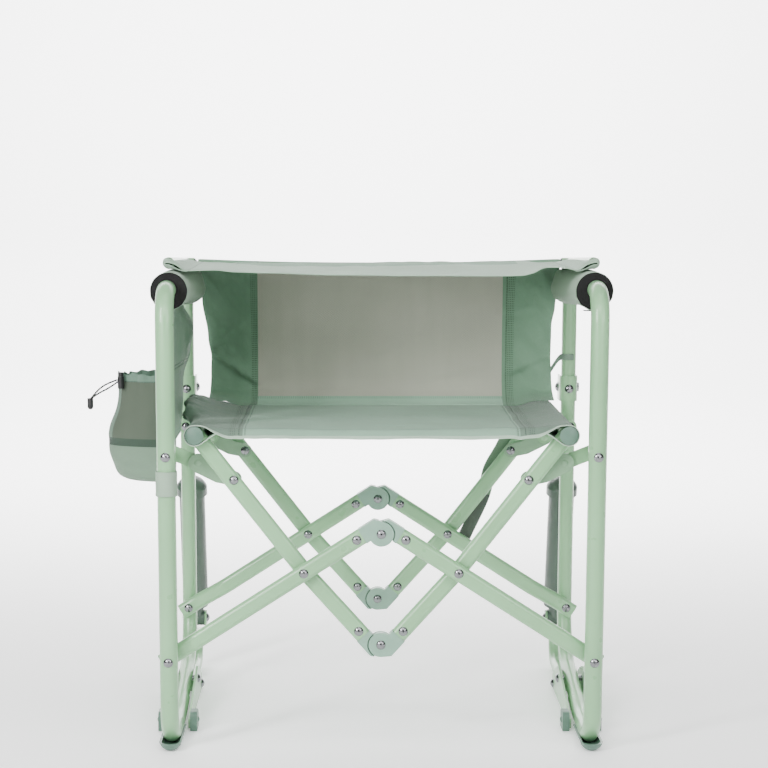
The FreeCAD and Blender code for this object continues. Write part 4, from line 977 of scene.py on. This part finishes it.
def build_bag():
    rows, heights = bag_rows()

    def pick(i, j):
        z = (heights[j] + heights[j + 1]) / 2
        if z > HEM_LOW:
            return 0
        if z > BAND_HIGH:
            return 4 if 30 <= i <= 43 else 1
        return 2 if z > BAND_LOW else 3

    materials = bag_materials()
    shell = cloth("cup_bag_shell", rows, materials, pick=pick, thickness=1.2)
    across, down = sheet_size(rows)
    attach(shell, "side_frame_left")
    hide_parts("cup_bag")
    wall_rows = []
    for z in heights:
        half = between(BAG_OUTLINE, z)[1]
        wall_rows.append([(BAG_IN - 0.2 - 0.5 * wrinkle(0, t * 40, z, 30.0), BAG_MIDDLE + t * half, z)
                          for t in [-1 + k / 8 for k in range(17)]])
    wall = cloth("cup_bag_wall", wall_rows, [materials[4]], thickness=1.0)
    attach(wall, "side_frame_left")
    wall_across, wall_down = sheet_size(wall_rows)


build_bag()


# ---------------------------------------------------------------- organizer panel, leg loop and carry handle
PANEL_LOW, PANEL_HIGH = 405.0, 597.5


def organizer_rows():
    """Rows from the arm down, with the lower corners cut in and a billow towards the rear."""
    rows = []
    for m in range(27):
        z = PANEL_HIGH - (PANEL_HIGH - PANEL_LOW) * m / 26
        shrink = 60.0 * (1 - smooth(405.0, 470.0, z)) ** 2
        row = []
        for k in range(37):
            t = k / 36
            y = 58.0 + shrink + t * (270.0 - 2 * shrink)
            wave = 1.6 * wrinkle(0, y, z, 60.0, 2.0)
            billow = 13.0 * smooth(170.0, 322.0, y) * smooth(470.0, 545.0, z) * smooth(597.0, 560.0, z)
            row.append((-SIDE_X - 2.9 + 0.7 * wave + billow * (1 + 0.5 * wrinkle(0, y, z, 28.0, 6.0)), y, z))
        rows.append(row)
    return rows


def build_organizer():
    rows = organizer_rows()
    material = woven("organizer_cloth", CLOTH, rows_u=[0.005, 0.265], rows_v=[0.086, 0.0905, 0.188],
                     puckers=0.0012)
    panel = cloth("organizer_cloth", rows, [material], thickness=1.4)
    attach(panel, "side_frame_left")
    across, down = sheet_size(rows)
    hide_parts("organizer_panel")


def build_leg_loop():
    """Webbing round the front leg with its tail sewn to the organizer."""
    rows = []
    for m in range(9):
        z = 387.0 - 34.0 * m / 8
        row = []
        for k in range(36):
            a = math.radians(-10.0 * k)
            r = 14.0 + 0.5 * smooth(360.0, 352.0, z) + 0.25 * wrinkle(k, 0, z, 9.0, 1.0)
            row.append((-SIDE_X + r * math.cos(a), r * math.sin(a), z))
        rows.append(row)
    loop = cloth("leg_loop", rows, [LEG_STRAP], thickness=1.3, closed=True)
    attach(loop, "side_frame_left")
    tail_rows = []
    for m in range(7):
        z = 385.5 - 31.0 * m / 6
        stations = [13.5 + 9.5 * k for k in range(12)]
        tail_rows.append([(-SIDE_X - 2.9 + 0.3 * wrinkle(0, y, z, 20.0), y, z + 0.25 * (y - 13))
                          for y in stations])
    tail = cloth("leg_loop_tail", tail_rows, [LEG_STRAP], thickness=1.3)
    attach(tail, "side_frame_left")


def build_handle():
    """Webbing handle hanging behind the scissor."""
    middle = [(204.0, 432.0), (202.0, 414.0), (197.0, 391.0), (186.0, 368.0), (173.0, 348.0), (167.0, 334.0),
              (165.5, 316.0), (163.0, 302.0), (155.5, 284.0), (146.0, 264.0), (137.0, 245.0), (129.0, 228.0),
              (126.5, 221.0)]
    rows = []
    for index, (x, z) in enumerate(middle):
        after = middle[min(index + 1, len(middle) - 1)]
        before = middle[max(index - 1, 0)]
        run = Vector((after[0] - before[0], after[1] - before[1])).normalized()
        rows.append([(x - run.y * 10.0 * t, 357.6 + 0.8 * math.cos(t * 1.5), z + run.x * 10.0 * t)
                     for t in (-1, -0.5, 0, 0.5, 1)])
    # The upper rows keep the handle's own green; the rows below take the dark webbing as painted shade.
    handle = cloth("carry_handle_strap", rows, [STRAP_PAINTED_SHADE, STRAP_TOP], pick=lambda i, j: 1 if j < 7 else 0,
                   thickness=1.5)
    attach(handle, "seat_links_right")
    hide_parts("carry_handle")


build_organizer()
build_leg_loop()
build_handle()


# ---------------------------------------------------------------- studio
def add_floor():
    """Pale floor that curves up into a backdrop."""
    rows = []
    curve = [(-4.0, 0.0), (-2.0, 0.0), (0.0, 0.0), (2.5, 0.0), (3.6, 0.12), (4.3, 0.6), (4.6, 1.6),
             (4.6, 6.0)]
    for y, z in curve:
        rows.append([Vector((x, y, z)) for x in (-6.0, -3.0, 0.0, 3.0, 6.0)])
    vertices = [p for row in rows for p in row]
    faces = [(j * 5 + i, j * 5 + i + 1, j * 5 + i + 6, j * 5 + i + 5)
             for j in range(len(curve) - 1) for i in range(4)]
    mesh = bpy.data.meshes.new("floor")
    mesh.from_pydata(vertices, [], faces)
    for polygon in mesh.polygons:
        polygon.use_smooth = True
    s = Shader("pale_floor", (0.93, 0.93, 0.93), 0.9, specular=0.1)
    s.paint(s.mix(s.noise(3.0), (0.92, 0.92, 0.92), (0.94, 0.94, 0.94)))
    s.main.inputs["Emission Color"].default_value = (1.0, 1.0, 1.0, 1.0)
    s.main.inputs["Emission Strength"].default_value = 0.34
    mesh.materials.append(s.material)
    floor = bpy.data.objects.new("floor", mesh)
    floor.location = (0.0, 0.0, -0.0005)
    bpy.context.scene.collection.objects.link(floor)


def add_light(name, where, target, power, size):
    """Soft rectangular lamp at a place, turned towards a target."""
    data = bpy.data.lights.new(name, "AREA")
    data.energy = power
    data.shape = "RECTANGLE"
    data.size, data.size_y = size
    lamp = bpy.data.objects.new(name, data)
    lamp.location = where
    lamp.rotation_euler = (Vector(target) - Vector(where)).to_track_quat("-Z", "Y").to_euler()
    bpy.context.scene.collection.objects.link(lamp)


def add_world():
    """Even pale light from all round."""
    world = bpy.data.worlds.new("studio")
    world.use_nodes = True
    background = world.node_tree.nodes["Background"]
    background.inputs["Color"].default_value = (1.0, 1.0, 1.0, 1.0)
    background.inputs["Strength"].default_value = 0.25
    bpy.context.scene.world = world


# Name, place, target, power in watts and size, all lengths in metres.
LIGHTS = [
    ("key", (-1.35, -1.55, 1.2), (0.0, 0.0, 0.35), 42.0, (0.3, 1.0)),
    ("fill", (1.35, -1.5, 1.1), (0.0, 0.0, 0.35), 9.0, (0.25, 1.0)),
    ("low_left", (-0.7, -1.4, 0.7), (0.0, 0.1, 0.45), 6.0, (0.4, 0.5)),
    ("low_right", (0.75, -1.4, 0.7), (0.0, 0.1, 0.45), 4.5, (0.4, 0.5)),
    ("front_high", (0.1, -1.4, 1.4), (0.0, 0.1, 0.4), 15.0, (1.3, 0.6)),
    ("top", (0.2, -0.7, 2.4), (0.0, 0.1, 0.3), 12.0, (2.0, 0.9)),
    ("backdrop_wash", (0.0, 1.9, 2.9), (0.0, 4.6, 1.2), 600.0, (4.0, 1.0)),
    ("floor_wash", (0.0, 1.7, 2.2), (0.0, 2.6, 0.0), 110.0, (3.6, 0.8)),
]

add_floor()
for light in LIGHTS:
    add_light(*light)
add_world()
